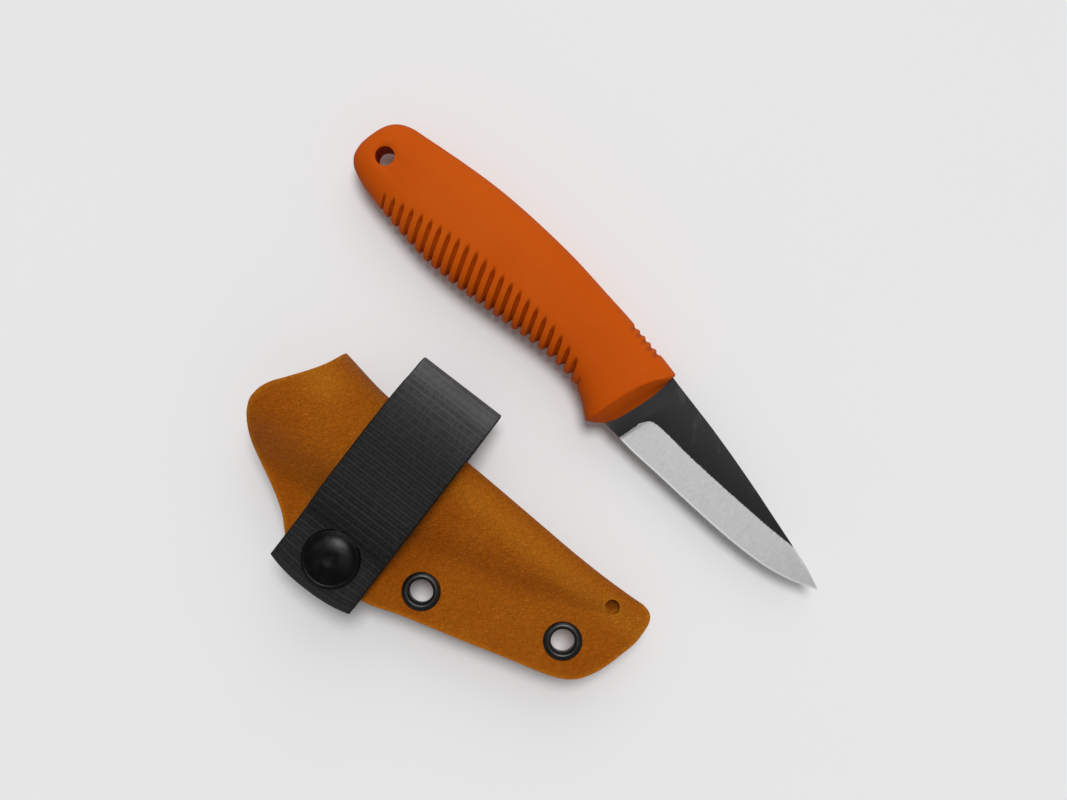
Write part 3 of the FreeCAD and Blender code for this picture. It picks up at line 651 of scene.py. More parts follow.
# ---------------------------------------------------------------- blade
def blade_mesh(columns):
    """Blade, ricasso and the stub that the handle hides; gives points, faces and the two edge distances."""
    spine, edge, grind = (smooth_through(points) for points in (SPINE, EDGE, GRIND))
    fine = np.linspace(PLUNGE[0] - 0.4, PLUNGE[1] + 0.2, 34)
    xs = np.unique(np.concatenate([np.linspace(-7, PLUNGE[0] - 0.5, 22), fine,
                                   np.linspace(PLUNGE[1] + 0.35, BLADE_END, columns)]))
    depth_at_sixty = float(grind(60) - edge(60))
    share = np.concatenate([[0], np.linspace(0.04, 1, 11)])
    rings, below, above = [], [], []
    for x in xs:
        top, low, line = float(spine(x)), float(edge(x)), float(grind(x))
        ground = float(ramp(x, *PLUNGE))
        slope = (BLADE_HALF - EDGE_HALF) / (max(line - low, 1e-3) if x < 60 else depth_at_sixty)
        flat_top = top - SPINE_ROUND
        shoulder = min(line, flat_top if x > PLUNGE[0] else RICASSO_FOOT)
        shoulder = max(shoulder, low + 0.03)
        flat = (flat_top + (shoulder - top + SPINE_ROUND) * share if flat_top > shoulder
                else np.full(len(share), shoulder))
        wedge = shoulder + (low - shoulder) * np.linspace(0, 1, 27)[1:]
        ys = np.concatenate([flat, wedge])
        halves = np.clip(EDGE_HALF + slope * (ys - low), EDGE_HALF, BLADE_HALF)
        halves = BLADE_HALF + (halves - BLADE_HALF) * ground
        top_half = min(BLADE_HALF, float(halves[0]))
        round_ys = [top, top - 0.02, top - 0.12]
        round_halves = [0.0, max(top_half - 0.38, 0.05), max(top_half - 0.1, 0.06)]
        ys, halves = np.concatenate([round_ys, ys]), np.concatenate([round_halves, halves])
        ys = np.maximum(np.minimum(ys, top), low)
        ring = ([(x, y, h) for y, h in zip(ys, halves)]
                + [(x, y, -h) for y, h in zip(ys[:0:-1], halves[:0:-1])])
        rings.append(ring)
        below += [min(line - y, (x - 5.0) * 1.6) for _, y, _ in ring]
        above += [y - low for _, y, _ in ring]
    rings = np.array(rings)
    count = rings.shape[1]
    faces = grid_faces(len(rings), count, True)
    points = rings.reshape(-1, 3)
    last = (len(rings) - 1) * count
    faces += [list(range(count)), list(range(last, last + count))[::-1]]
    return points, faces, below, above


def build_blade(look):
    """Coated blade with its satin ground bevel."""
    points, faces, below, above = blade_mesh(look.blade_columns)
    blade = make_piece("knife_blade", knife_place(points), faces, {"below_grind": below, "above_edge": above})
    tidy_mesh(blade, 28.0)
    blade.data.materials.append(coated_blade_material(look))
    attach(blade, "knife")
    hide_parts("blade_and_tang")


# ---------------------------------------------------------------- grip
def grip_rings(look):
    """Rings of the handle from the butt to the front ridge, with the along and zone values of its grooves."""
    back, belly, half = (smooth_through([(row[0], row[k]) for row in GRIP]) for k in (1, 2, 3))
    tops, ridge = smooth_through(RIB_TOPS), smooth_through(RIDGE)
    table = np.linspace(-112, -1, 2600)
    reach = RIB_X * table + RIB_Y * belly(table)
    samples = np.array([0, 0.08, 0.16, 0.23, 0.27, 0.31, 0.36, 0.43, 0.5, 0.57, 0.64, 0.69, 0.73, 0.77, 0.84,
                        0.92])
    marks = (RIB_FIRST + RIB_PITCH * (np.arange(RIB_COUNT)[:, None] + samples)).ravel()
    marks = np.interp(marks, reach, table)
    marks = marks[(marks > -99) & (marks < -21.3)]
    notch_last = NOTCH_FIRST + NOTCH_PITCH * (NOTCH_COUNT - 1)
    starts = np.concatenate([GRIP_BUTT + 11.2 * np.linspace(0, 1, 34) ** 1.7, marks,
                             np.arange(-21.0, -5.1, 0.27), [-5.0, -4.93, -4.87, -4.82, RIDGE_X]])
    starts = np.unique(np.round(starts, 4))
    turns = np.linspace(0, 2 * math.pi, look.grip_segments, endpoint=False)
    cos, sin = np.cos(turns), np.sin(turns)
    wide = np.sign(cos) * np.abs(cos) ** (2 / GRIP_POWER)
    tall = np.sign(sin) * np.abs(sin) ** (2 / GRIP_POWER)
    rings, along, zone, notch = [], [], [], []
    for s in starts:
        skew = float(ramp(s, -108, -98)) * (1 - float(ramp(s, -21, -9)))
        front = float(ramp(s, -18, RIDGE_X))
        lift = max(float(tops(s)) - float(belly(s)), 0.0)
        x = np.full(len(turns), float(s))
        for _ in range(6):
            middle, tallness = (back(x) + belly(x)) / 2, (back(x) - belly(x)) / 2
            y = middle + tallness * tall
            slanted = s - RIB_Y / RIB_X * skew * np.clip(y - belly(s), 0, lift)
            ridged = ridge(y) + (s - RIDGE_X)
            x = (1 - front) * slanted + front * ridged
            x = np.maximum(x, GRIP_BUTT)
        z = half(x) * wide
        closing = ramp(-s, -RIDGE_X, 5.1)
        z = z * (1 - 0.035 * (1 - closing))
        rings.append(np.stack([x, y, z], axis=1))
        u = RIB_X * x + RIB_Y * y
        inside = np.clip((tops(x) + 0.6 - y) / 2.4, 0, 1) * ramp(u, RIB_FIRST + 1.2, RIB_FIRST + 1.9)
        inside = inside * (1 - ramp(u, RIB_FIRST + RIB_PITCH * 24.2, RIB_FIRST + RIB_PITCH * 24.6))
        along.append(u)
        zone.append(inside)
        on_back = ramp(y, back(x) - 3.4, back(x) - 1.2) * (1 - ramp(np.abs(z), 6.2, 7.6))
        in_run = (ramp(x, NOTCH_FIRST - 1.9, NOTCH_FIRST - 1.3)
                  * (1 - ramp(x, notch_last + 1.2, notch_last + 1.8)))
        notch.append(on_back * in_run)
    return np.array(rings), np.array(along), np.array(zone), np.array(notch)


def front_rings(ridge_ring, count):
    """Rings of the domed front face, from the ridge to the blade."""
    junction = smooth_through(JUNCTION)
    x, y, z = ridge_ring.T
    high, low = y.max(), y.min()
    share = (y - low) / (high - low)
    blade_y = -24.35 + share * 24.35
    blade_z = 1.46 * np.sign(z) * np.clip(np.abs(z) / 4.0, 0, 1) ** 0.5
    blade_x = junction(blade_y)
    rings = []
    for v in np.linspace(0, 1, count)[1:]:
        dome = 0.55 * math.sin(math.pi * min(v * 1.15, 1.0))
        rings.append(np.stack([x + (blade_x - x) * v ** 1.15 + dome * (1 - v) ** 0.5, y + (blade_y - y) * v,
                               z + (blade_z - z) * v], axis=1))
    return np.array(rings)


def build_grip(look):
    """Rubber handle: skewed rings, grooves cut by the tree, domed front and the lanyard hole."""
    rings, along, zone, notch = grip_rings(look)
    front = front_rings(rings[-1], 12)
    inner = front[-1].copy()
    inner[:, 0] -= 3.0
    rings_all = np.concatenate([rings, front, inner[None]])
    spare = np.zeros((len(front) + 1, rings.shape[1]))
    along, zone, notch = (np.concatenate([values, spare]) for values in (along, zone, notch))
    points = rings_all.reshape(-1, 3)
    hole = MOUNTS["lanyard_hole"]
    placed = knife_place(points)
    reach = np.hypot(placed[:, 0] - hole.x, placed[:, 1] - hole.y)
    ease = np.clip((4.9 - reach) / 2.0, 0, 1)
    placed[:, 2] -= np.sign(points[:, 2]) * 0.75 * ease ** 2
    count = rings.shape[1]
    faces = grid_faces(len(rings_all), count, True)
    last = (len(rings_all) - 1) * count
    faces.append(list(range(last, last + count)))
    grip = make_piece("knife_grip", placed, faces, {
        "along_ribs": along * MM, "rib_zone": zone, "along_back": points[:, 0] * MM, "notch_zone": notch,
        "groove": np.zeros(len(placed))})
    tidy_mesh(grip, 40.0)
    rubber = grip_rubber_material(look)
    run_tree(grip, "cut_grooves", along="along_ribs", zone="rib_zone", pitch=look.rib_pitch,
             first=RIB_FIRST * MM, groove_share=look.groove_share, depth=look.groove_depth, round=0.0006,
             material=rubber)
    run_tree(grip, "cut_grooves", along="along_back", zone="notch_zone", pitch=NOTCH_PITCH * MM,
             first=(NOTCH_FIRST - NOTCH_PITCH / 2) * MM, groove_share=0.7, depth=0.00055, round=0.0,
             material=rubber)
    bore(grip, [(hole.x, hole.y, frame_radius("lanyard_hole"), -5, 25)])
    tidy_mesh(grip, 42.0)
    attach(grip, "knife")
    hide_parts("handle_grip")


def frame_radius(mount):
    """Radius of a bore mount in millimetres."""
    return next(m["dims"]["r_mm"] for m in frame["record"]["mounts"] if m["name"] == mount)


# ---------------------------------------------------------------- sheath
def bulge_height():
    """Outer face of the sheath's front above its middle, as a function of sheath x and y."""
    fold, half, foot, crest = (smooth_through(rows)
                               for rows in (FOLD_ABOVE, BULGE_HALF, BULGE_FOOT, BULGE_CREST))

    def height(x, y):
        tall, top, low, peak = half(x), fold(x), foot(x), crest(x)
        up = np.clip((y - peak) / (top - peak), 0, 1)
        upper = tall * (1 - up ** 2.2) ** (1 / 2.2)
        down = np.clip((peak - y) / (peak - low), 0, 1)
        lower = FLANGE_HALF + (tall - FLANGE_HALF) * 0.5 * (1 + np.cos(math.pi * down ** 1.35))
        return np.where(y > peak, upper, lower)
    return height


def sheath_grid(columns, rows):
    """Front face of the sheath from its fold to its long edge, row by row."""
    us = np.linspace(0, 1, columns)
    vs = np.linspace(0, 1, rows) ** 1.5
    fold, lower = along_line(FOLD, us), along_line(LOWER, us)
    mouth, tip = along_line(MOUTH, vs), along_line(TIP, vs)
    u, v = us[None, :, None], vs[:, None, None]
    corner = ((1 - u) * (1 - v) * fold[0] + u * (1 - v) * fold[-1]
              + (1 - u) * v * lower[0] + u * v * lower[-1])
    flat = (1 - v) * fold[None] + v * lower[None] + (1 - u) * mouth[:, None] + u * tip[:, None] - corner
    height = bulge_height()(flat[..., 0], flat[..., 1])
    height[0] = 0.0
    return np.concatenate([flat, height[..., None]], axis=2)


def build_sheath(look):
    """Moulded sheath: one sheet folded along its upper edge, with its mouth, flange, tip and holes."""
    front = sheath_grid(look.sheath_columns, look.sheath_rows)
    back = front[:0:-1] * np.array([1, 1, -1])
    skin = np.concatenate([back, front])
    normal = np.cross(np.gradient(skin, axis=1), np.gradient(skin, axis=0))
    normal /= np.maximum(np.linalg.norm(normal, axis=2, keepdims=True), 1e-9)
    middle = len(back)
    if normal[-1, len(front[0]) // 2, 2] < 0:
        normal = -normal
    normal[middle] = (0, 1, 0)
    lining = skin - WALL * normal
    side = np.sign(np.arange(len(skin)) - middle)[:, None]
    lining[..., 2] = np.where(side > 0, np.maximum(lining[..., 2], POCKET_GAP),
                              np.where(side < 0, np.minimum(lining[..., 2], -POCKET_GAP), 0.0))
    for end in (0, -1):
        lining[end, :, :2] = skin[end, :, :2]
        lining[:, end, :2] = skin[:, end, :2]
    lining[middle, [0, -1], 1] = skin[middle, [0, -1], 1] - FOLD_TUCK
    rows, columns = skin.shape[:2]
    points = np.concatenate([skin.reshape(-1, 3), lining.reshape(-1, 3)])
    faces = grid_faces(rows, columns)
    base = rows * columns
    faces += [[base + i for i in face[::-1]] for face in grid_faces(rows, columns)]
    loop = (list(range(columns)) + [r * columns + columns - 1 for r in range(1, rows)]
            + [(rows - 1) * columns + c for c in range(columns - 2, -1, -1)]
            + [r * columns for r in range(rows - 2, 0, -1)])
    faces += [[a, b, base + b, base + a] for a, b in zip(loop, loop[1:] + loop[:1])]
    sheath = make_piece("sheath_body", sheath_place(points), faces)
    tidy_mesh(sheath, 40.0)
    ox, oy, oz = SHEATH_ORIGIN
    holes = [(MOUNTS[name].x, MOUNTS[name].y, frame_radius(name) + EYELET_SEAT, oz - 6, oz + 6)
             for name in ("eyelet_front", "eyelet_tip")]
    bore(sheath, holes + [(ox + DRAIN[0], oy + DRAIN[1], DRAIN[2], oz + 0.1, oz + 9)], 48)
    rims = sheath.modifiers.new("soft_rims", "BEVEL")
    rims.width, rims.segments, rims.limit_method, rims.angle_limit = 0.0004, 2, "ANGLE", math.radians(48)
    rims.use_clamp_overlap = True
    freeze(sheath)
    tidy_mesh(sheath, 38.0)
    mark_edges_and_painted_shading(sheath)
    sheath.data.materials.append(sheath_hide_material(look))
    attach(sheath, "sheath")
    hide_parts("sheath_shell")


def mark_edges_and_painted_shading(sheath):
    """Marks the sheath's cut edges and a painted highlight round its drain hole, painted shade at the foot of its
    bulge and inside its drain hole, and painted light along its fold and at its mouth.
    """
    origin = np.array(SHEATH_ORIGIN)[:2]
    outline = np.concatenate([along_line(edge, np.linspace(0, 1, count))
                              for edge, count in ((MOUTH, 160), (LOWER, 160), (TIP, 80))]) + origin
    drain = np.array(DRAIN[:2]) + origin
    co = np.empty(len(sheath.data.vertices) * 3, np.float32)
    sheath.data.vertices.foreach_get("co", co)
    flat = co.reshape(-1, 3)[:, :2] / MM
    away = np.full(len(flat), 1e9)
    for start in range(0, len(outline), 50):
        part = outline[start:start + 50]
        gaps = np.hypot(flat[:, None, 0] - part[:, 0], flat[:, None, 1] - part[:, 1])
        away = np.minimum(away, gaps.min(axis=1))
    from_drain = np.hypot(*(flat - drain).T)
    ring = np.abs(from_drain - DRAIN[2])
    # paler along the cut edges, and a painted highlight round the drain hole
    rim = np.maximum(1 - ramp(away, 0.3, 1.6), 1 - ramp(ring, 0.1, 0.7))
    x, y = (flat - origin).T
    foot = smooth_through(BULGE_FOOT)(x)
    # painted shade along the foot of the bulge
    valley = 0.34 * np.exp(-((y - foot - 3.0) / 4.5) ** 2) * ramp(x, -40, -8) * (1 - ramp(x, 30, 60))
    # painted shade inside the drain hole
    valley = np.maximum(valley, 0.7 * (1 - ramp(from_drain, 1.2, 2.4)))
    # painted light: a lighter band along the fold and a lighter patch at the mouth
    along_fold = 0.7 * np.exp(-((y - smooth_through(FOLD)(x) + 6.5) / 5.5) ** 2) * ramp(x, -8, 6)
    at_mouth = 0.85 * np.exp(-((x + 48) / 9) ** 2 - ((y + 6) / 7) ** 2)
    store_values(sheath.data, {"rim": rim, "valley": valley, "faded": np.maximum(along_fold, at_mouth)})


# ---------------------------------------------------------------- strap
def strap_leg(tail_height):
    """Inner face of a strap leg as (y, height) corners, from the fold to the cut end."""
    return [(FOLD_Y, NOSE_RADIUS), (FOLD_Y - 2.8, NOSE_RADIUS + 1.7), (BULGE_FOLD + 6.3, 0.585 * BULGE_OVER),
            (BULGE_FOLD + 1.5, 0.80 * BULGE_OVER), (BULGE_FOLD - 3.5, 0.94 * BULGE_OVER),
            (BULGE_FOLD - 10.0, BULGE_OVER), (FOOT_Y + 12.2, BULGE_OVER), (FOOT_Y + 5.2, 0.93 * BULGE_OVER),
            (FOOT_Y + 1.0, 0.67 * BULGE_OVER + 0.26 * tail_height), (FOOT_Y - 3.0, tail_height + 0.9),
            (FOOT_Y - 7.5, tail_height), (FOOT_Y - STRAP_TAIL, tail_height)]


def strap_path(step):
    """Middle line of the strap in (y, z), from the back's cut end over the fold to the front's cut end."""
    legs = []
    for side, height in ((-1, FLANGE_HALF), (1, FLANGE_HALF + STRAP_LIFT)):
        inner = along_line(strap_leg(height), np.linspace(0, 1, 400))
        run = np.gradient(inner, axis=0)
        run /= np.linalg.norm(run, axis=1, keepdims=True)
        middle = inner + STRAP_THICKNESS / 2 * np.stack([run[:, 1], -run[:, 0]], axis=1)
        legs.append(middle * (1, side))
    turns = np.linspace(-math.pi / 2, math.pi / 2, 40)[1:-1]
    radius = legs[1][0, 1]
    nose = np.stack([FOLD_Y + radius * np.cos(turns), radius * np.sin(turns)], axis=1)
    line = np.concatenate([legs[0][::-1], nose, legs[1]])
    run = np.concatenate([[0], np.cumsum(np.hypot(*np.diff(line, axis=0).T))])
    marks = np.linspace(0, run[-1], int(run[-1] / step))
    path = np.stack([np.interp(marks, run, line[:, k]) for k in (0, 1)], axis=1)
    fold = run[len(legs[0]) + len(nose) // 2]
    return path, marks, fold


def build_strap(look):
    """Webbing strap with its cross ribs, folded round behind the sheath and bent at its hinge."""
    path, marks, fold = strap_path(look.web_rib / MM / 6)
    run = np.gradient(path, axis=0)
    run /= np.linalg.norm(run, axis=1, keepdims=True)
    out = np.stack([-run[:, 1], run[:, 0]], axis=1)
    if out[len(out) // 2, 0] < 0:
        out = -out
    half_w, half_t, soft = STRAP_WIDTH / 2, STRAP_THICKNESS / 2, STRAP_EDGE
    flat = np.linspace(-half_w + soft, half_w - soft, 15)
    bend = np.linspace(0, math.pi, 7)[1:-1]
    section = [(x, half_t) for x in flat]
    section += [(half_w - soft + soft * math.sin(a), half_t * math.cos(a)) for a in bend]
    section += [(x, -half_t) for x in flat[::-1]]
    section += [(-half_w + soft - soft * math.sin(a), -half_t * math.cos(a)) for a in bend]
    section = np.array(section)
    centre = path[:, None, :] + out[:, None, :] * section[None, :, 1:2]
    x = np.repeat(section[None, :, 0], len(path), axis=0) + STRAP_X
    bow = STRAP_BOW * (1 - np.abs(section[:, 0] / half_w) ** 2.4)
    ends = np.stack([1 - ramp(marks, 0, 9), ramp(marks, marks[-1] - 9, marks[-1])], axis=1)
    centre = centre + bow[None, :, None] * (ends[:, 1] - ends[:, 0])[:, None, None] * run[:, None, :]
    points = np.stack([x, centre[..., 0], centre[..., 1]], axis=-1)
    rows, count = points.shape[:2]
    faces = grid_faces(rows, count, True)
    last = (rows - 1) * count
    faces += [list(range(count)), list(range(last, last + count))[::-1]]
    length = np.repeat(marks[:, None], count, axis=1)
    ribbed = np.repeat((np.abs(section[:, 1]) > half_t * 0.8).astype(float)[None], rows, axis=0)
    ribbed *= (ramp(marks, 0.4, 1.2) * ramp(marks[-1] - marks, 0.4, 1.2))[:, None]
    # painted highlight: share of the lighter fold colour along the strap
    near = np.exp(-((marks - fold) / FOLD_HIGHLIGHT_REACH) ** 2)
    strap = make_piece("strap_band", sheath_place(points.reshape(-1, 3)), faces, {
        "along_web": length * MM, "web_zone": ribbed, "towards_fold": np.repeat(near[:, None], count, axis=1),
        "groove": np.zeros(rows * count), "selvedge": np.repeat(
            (np.abs(section[:, 0]) > half_w - 0.3).astype(float)[None], rows, axis=0)})
    tidy_mesh(strap, 50.0)
    web = strap_web_material(look)
    run_tree(strap, "cut_grooves", along="along_web", zone="web_zone", pitch=look.web_rib, first=0.0,
             groove_share=0.5, depth=look.web_depth, round=0.00004, material=web)
    run_tree(strap, "cut_grooves", along="along_web", zone="web_zone", pitch=2 * look.web_rib, first=0.0,
             groove_share=0.3, depth=look.web_depth * 0.6, round=0.00002, material=web)
    tidy_mesh(strap, 50.0)
    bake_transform(strap)
    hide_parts("strap_back", "strap_front")


# ---------------------------------------------------------------- metal fittings
def build_eyelets(look):
    """Two rolled eyelets through the flange, placed by the tree."""
    inner, outer = frame_radius("eyelet_front"), EYELET_OUTER
    seat = inner + EYELET_SEAT
    top = [(inner, 0.0), (inner, 2.2), (inner + 0.12, 2.62), (inner + 0.42, 2.92), (inner + 0.85, 3.05),
           (inner + 1.35, 2.98), (outer - 0.45, 2.72), (outer - 0.12, 2.46), (outer, 2.24),
           (outer - 0.2, 2.16), (seat, 2.16), (seat, 0.0)]
    profile = top + [(r, -z) for r, z in top[-2:0:-1]]
    points, faces = lathe(profile, look.ring_segments)
    ring = make_piece("rolled_ring", points, faces)
    tidy_mesh(ring, 60.0)
    places = [MOUNTS[name] for name in ("eyelet_front", "eyelet_tip")]
    eyelets = make_piece("sheath_eyelets", [tuple(place) for place in places], [])
    lacquer = lacquer_material("eyelet_lacquer", look.lacquer, look.lacquer_worn, 0.32, 0.36)
    run_tree(eyelets, "place_copies", copy=ring, material=lacquer)
    mesh = ring.data
    bpy.data.objects.remove(ring)
    bpy.data.meshes.remove(mesh)
    tidy_mesh(eyelets, 60.0)
    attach(eyelets, "sheath")
    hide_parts("eyelet_front", "eyelet_tip")


def build_cap(look):
    """Domed snap cap with its rolled rim, shallow ring and slightly dished middle."""
    low, high = (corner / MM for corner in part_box("snap_cap"))
    radius, middle = (high.x - low.x) / 2, (low + high) / 2
    seat = SHEATH_ORIGIN.z + FLANGE_HALF + STRAP_LIFT + STRAP_THICKNESS
    rise = high.z - seat
    dome = [(0.0, 0.95), (1.4, 0.96), (2.3, 1.0), (3.2, 0.99), (4.4, 0.94), (5.6, 0.86), (6.6, 0.75),
            (7.2, 0.65), (7.5, 0.56), (7.65, 0.545), (7.9, 0.60), (8.2, 0.56), (8.5, 0.44),
            (radius - 0.02, 0.28), (radius, 0.18)]
    under = [(radius - 0.12, 0.05), (radius - 0.5, -0.05), (6.5, -0.05), (2.0, -0.05), (0.0, -0.05)]
    profile = [(r, rise * share) for r, share in dome] + under
    points, faces = lathe(profile, look.ring_segments, closed=False)
    points = points + np.array((middle.x, middle.y, seat))
    cap = make_piece("strap_snap_cap", points, faces)
    tidy_mesh(cap, 60.0, 1e-5)
    curve = cap.modifiers.new("rounder", "SUBSURF")
    curve.levels = curve.render_levels = 1
    freeze(cap)
    cap.data.materials.append(lacquer_material("cap_lacquer", look.lacquer, look.lacquer_worn, 0.26, 0.1))
    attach(cap, "strap_flap")
    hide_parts("snap_cap")


def finish_snap(look):
    """Nickel finish on the snap's carried-over pieces, lacquer on the post's disc behind."""
    nickel = nickel_material(look)
    lacquer = lacquer_material("post_lacquer", look.lacquer, look.lacquer_worn, 0.3, 0.26)
    for name, finish in (("snap_stud", nickel), ("snap_socket", nickel), ("snap_spring", nickel),
                         ("snap_post", lacquer)):
        node = frame["nodes"][name]
        if not node.material_slots:
            raise RuntimeError(f"{name} has no material slot to give its finish to")
        for material_slot in node.material_slots:
            material_slot.material = finish


# ---------------------------------------------------------------- stage
def build_stage(look):
    """Pale floor, two broad lights leaning to the far side of the view, even air, and the camera above."""
    low = CAD_BOX[0][2]
    mesh = bpy.data.meshes.new("floor")
    size = look.floor_size / 2
    mesh.from_pydata([(-size, -size, low), (size, -size, low), (size, size, low), (-size, size, low)], [],
                     [(0, 1, 2, 3)])
    floor = bpy.data.objects.new("floor", mesh)
    bpy.context.scene.collection.objects.link(floor)
    mesh.materials.append(floor_material(look))

    heading = look.camera_turn - look.light_turn
    away = Vector((-math.sin(heading), math.cos(heading), 0))
    for name, lean, soft, power in (("key_light", look.key_lean, look.key_softness, look.key_power),
                                    ("far_light", look.far_lean, look.far_softness, look.far_power)):
        lamp = bpy.data.lights.new(name, "SUN")
        lamp.angle, lamp.energy = soft, power
        sun = bpy.data.objects.new(name, lamp)
        direction = away * math.sin(lean) + Vector((0, 0, math.cos(lean)))
        sun.location = direction
        sun.rotation_euler = direction.to_track_quat("Z", "Y").to_euler()
        bpy.context.scene.collection.objects.link(sun)
    world = bpy.data.worlds.new("studio_air")
    world.use_nodes = True
    air = world.node_tree.nodes["Background"].inputs
    air["Color"].default_value = (1.0, 1.0, 1.0, 1.0)
    air["Strength"].default_value = look.air_strength
    bpy.context.scene.world = world
    bpy.context.scene.view_settings.view_transform = "Standard"

    lens = bpy.data.cameras.new("view_camera")
    lens.lens, lens.sensor_width, lens.sensor_fit = look.camera_lens, 36.0, "HORIZONTAL"
    lens.clip_start, lens.clip_end = 0.01, 20.0
    camera = bpy.data.objects.new("view_camera", lens)
    camera.location = (look.camera_x, look.camera_y, low + look.camera_height)
    camera.rotation_euler = (0.0, 0.0, look.camera_turn)
    bpy.context.scene.collection.objects.link(camera)
    bpy.context.scene.camera = camera


# ---------------------------------------------------------------- settings
def length(name, text, default):
    """Property for a length in metres."""
    return FloatProperty(name=name, description=text, default=default, unit="LENGTH", subtype="DISTANCE",
                         precision=5)


def angle(name, text, degrees):
    """Property for an angle."""
    return FloatProperty(name=name, description=text, default=math.radians(degrees), unit="ROTATION",
                         subtype="ANGLE")


def tint(name, text, default):
    """Property for a linear colour."""
    return FloatVectorProperty(name=name, description=text, default=default, subtype="COLOR", size=3, min=0.0,
                               max=1.0)


def count(name, text, default):
    """Property for a number of things."""
    return IntProperty(name=name, description=text, default=default)


def amount(name, text, default):
    """Property for a plain number."""
    return FloatProperty(name=name, description=text, default=default)


class KnifeSettings(bpy.types.PropertyGroup):
    """Sizes and colours of the knife."""
    blade_columns: count("Blade columns", "Mesh columns along the blade", 170)
    coat_dark: tint("Coat", "Black coat along the bevel", shade(24, 24, 25))
    coat_light: tint("Coat, spine", "Black coat towards the spine", shade(40, 40, 41))
    coat_smudge: tint("Smudges", "Rubbed places of the coat", shade(70, 69, 68))
    steel_dark: tint("Bevel, dark", "Darker scratches of the bare bevel", shade(186, 186, 187))
    steel_light: tint("Bevel, light", "Lighter scratches of the bare bevel", shade(206, 206, 206))
    grip_segments: count("Handle segments", "Mesh points around the handle", 136)
    rib_pitch: length("Rib pitch", "From one fin of the handle to the next", RIB_PITCH * MM)
    groove_share: FloatProperty(name="Groove share", description="Groove's share of the pitch", default=0.44,
                                min=0.05, max=0.95, subtype="FACTOR")
    groove_depth: length("Groove depth", "Depth of the grooves between the fins", 0.00125)
    rubber: tint("Rubber", "Handle's rubber", shade(186, 76, 4))
    rubber_light: tint("Rubber, light", "Lighter patches of the rubber", shade(190, 81, 7))
    # darker speckle, and painted shade deep in the handle's grooves
    rubber_groove: tint("Rubber, grooves", "Rubber deep in the grooves", shade(92, 28, 0))


class SheathSettings(bpy.types.PropertyGroup):
    """Mesh and colours of the sheath."""
    sheath_columns: count("Columns", "Mesh columns along the sheath", 150)
    sheath_rows: count("Rows", "Mesh rows from fold to long edge", 84)
    hide: tint("Sheet", "Sheath's tan", shade(168, 86, 3))
    # lighter patches and paler cut edges, with painted light along the fold, at the mouth and round the drain hole
    hide_light: tint("Sheet, light", "Lighter patches and worn rims", shade(196, 118, 22))
    # the wrinkles' creases, and painted shade at the foot of the bulge and inside the drain hole
    hide_crease_and_shade: tint("Creases", "Colour in the wrinkles", shade(124, 54, 0))


class StrapSettings(bpy.types.PropertyGroup):
    """Sizes and colours of the strap."""
    web_rib: length("Rib pitch", "From one cross rib to the next", 0.00118)
    web_depth: length("Rib depth", "Depth between the cross ribs", 0.00016)
    web_dark: tint("Webbing", "Charcoal webbing", shade(22, 22, 23))
    # painted highlight at the fold, and the lighter threads
    web_light: tint("Webbing, fold", "Webbing rubbed light at the fold", shade(90, 90, 90))
    # painted shade between the ribs, and the darker side edges
    web_groove: tint("Webbing, grooves", "Webbing between its ribs", shade(8, 8, 8))


class FittingSettings(bpy.types.PropertyGroup):
    """Mesh and colours of the metal fittings."""
    ring_segments: count("Segments", "Mesh points around a turned fitting", 96)
    lacquer: tint("Lacquer", "Black lacquer", shade(8, 8, 8))
    lacquer_worn: tint("Lacquer, worn", "Rubbed lacquer", shade(30, 29, 27))
    nickel: tint("Nickel", "Nickel plate", shade(190, 187, 180))


class StageSettings(bpy.types.PropertyGroup):
    """Floor, lights and camera."""
    floor: tint("Floor", "Pale paper", (0.80, 0.80, 0.80))
    floor_size: length("Floor size", "Side of the floor", 6.0)
    light_turn: angle("Light turn", "Turn of both lights to the right of the view's far side", 16)
    key_power: amount("Key light", "Strength of the light overhead", 1.95)
    key_lean: angle("Key lean", "Lean of the light overhead towards the far side", 16)
    key_softness: angle("Key softness", "Width of the light overhead", 20)
    far_power: amount("Far light", "Strength of the low far light", 0.62)
    far_lean: angle("Far lean", "Lean of the low far light", 48)
    far_softness: angle("Far softness", "Width of the low far light", 50)
    air_strength: amount("Air", "Strength of the even light", 0.27)
    camera_turn: angle("Camera turn", "Camera's turn about the vertical", 37.6)
    camera_lens: amount("Lens", "Focal length in millimetres", 47.9)
    camera_x: length("Camera x", "Camera's place along x", -0.00727)
    camera_y: length("Camera y", "Camera's place along y", 0.01975)
    camera_height: length("Camera height", "Camera above the floor", 0.430)


# ---------------------------------------------------------------- operators
class RIGKNIFE_OT_prepare(bpy.types.Operator):
    """Make the shared shader groups and geometry trees"""
    bl_idname = "rigknife.prepare"
    bl_label = "Shared Effects"

    def execute(self, context):
        make_effect_groups()
        groove_tree()
        placing_tree()
        return {"FINISHED"}


class BuildStep:
    """Runs its builders with its group of settings."""

    def execute(self, context):
        for build in self.builders:
            build(getattr(context.scene, self.settings))
        return {"FINISHED"}


class RIGKNIFE_OT_blade(BuildStep, bpy.types.Operator):
    """Build the coated blade"""
    bl_idname, bl_label = "rigknife.blade", "Blade"
    settings, builders = "rigknife_knife", (build_blade,)


class RIGKNIFE_OT_grip(BuildStep, bpy.types.Operator):
    """Build the rubber handle"""
    bl_idname, bl_label = "rigknife.grip", "Handle"
    settings, builders = "rigknife_knife", (build_grip,)


class RIGKNIFE_OT_sheath(BuildStep, bpy.types.Operator):
    """Build the folded sheath"""
    bl_idname, bl_label = "rigknife.sheath", "Sheath"
    settings, builders = "rigknife_sheath", (build_sheath,)


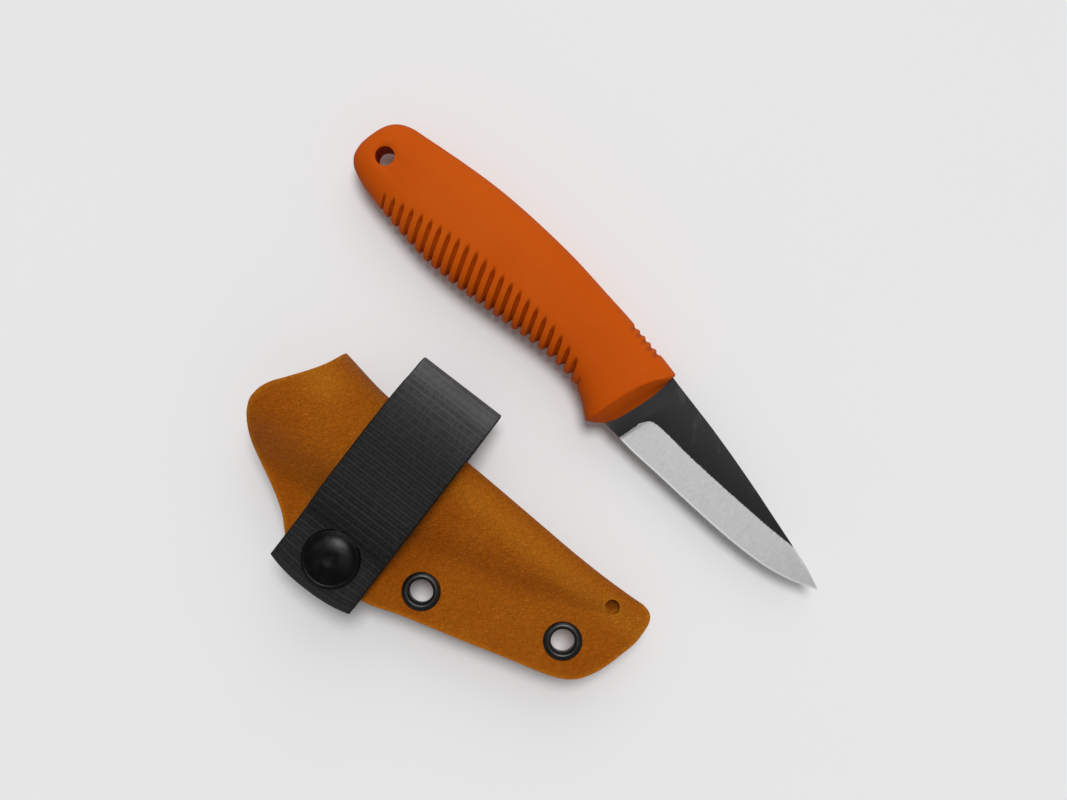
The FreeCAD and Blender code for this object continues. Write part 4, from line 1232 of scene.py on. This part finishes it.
class RIGKNIFE_OT_strap(BuildStep, bpy.types.Operator):
    """Build the webbing strap"""
    bl_idname, bl_label = "rigknife.strap", "Strap"
    settings, builders = "rigknife_strap", (build_strap,)


class RIGKNIFE_OT_fittings(BuildStep, bpy.types.Operator):
    """Build the eyelets and the snap, and finish the snap's inner pieces"""
    bl_idname, bl_label = "rigknife.fittings", "Fittings"
    settings, builders = "rigknife_fittings", (build_eyelets, build_cap, finish_snap)


class RIGKNIFE_OT_stage(BuildStep, bpy.types.Operator):
    """Set the floor, the lights and the camera"""
    bl_idname, bl_label = "rigknife.stage", "Stage"
    settings, builders = "rigknife_stage", (build_stage,)


STEPS = (RIGKNIFE_OT_prepare, RIGKNIFE_OT_blade, RIGKNIFE_OT_grip, RIGKNIFE_OT_sheath, RIGKNIFE_OT_strap,
         RIGKNIFE_OT_fittings, RIGKNIFE_OT_stage)
SETTINGS = {"rigknife_knife": KnifeSettings, "rigknife_sheath": SheathSettings,
            "rigknife_strap": StrapSettings, "rigknife_fittings": FittingSettings,
            "rigknife_stage": StageSettings}


class RIGKNIFE_PT_panel(bpy.types.Panel):
    """Lists the pieces and their settings"""
    bl_label = "Rigging Knife"
    bl_space_type = "VIEW_3D"
    bl_region_type = "UI"
    bl_category = "Rigging Knife"

    def draw(self, context):
        for step in STEPS:
            self.layout.operator(step.bl_idname)
        for label, kind in SETTINGS.items():
            box = self.layout.box()
            for field in kind.__annotations__:
                box.prop(getattr(context.scene, label), field)


CLASSES = (*SETTINGS.values(), *STEPS, RIGKNIFE_PT_panel)


def register():
    """Adds the classes and the scene's settings."""
    for kind in CLASSES:
        bpy.utils.register_class(kind)
    for label, kind in SETTINGS.items():
        setattr(bpy.types.Scene, label, PointerProperty(type=kind))


def unregister():
    """Takes the scene's settings and the classes away."""
    for label in SETTINGS:
        delattr(bpy.types.Scene, label)
    for kind in reversed(CLASSES):
        bpy.utils.unregister_class(kind)


def main():
    """Builds every piece in order."""
    register()
    for step in STEPS:
        group, name = step.bl_idname.split(".")
        getattr(getattr(bpy.ops, group), name)()
    bpy.context.view_layer.update()


if __name__ == "__main__":
    main()
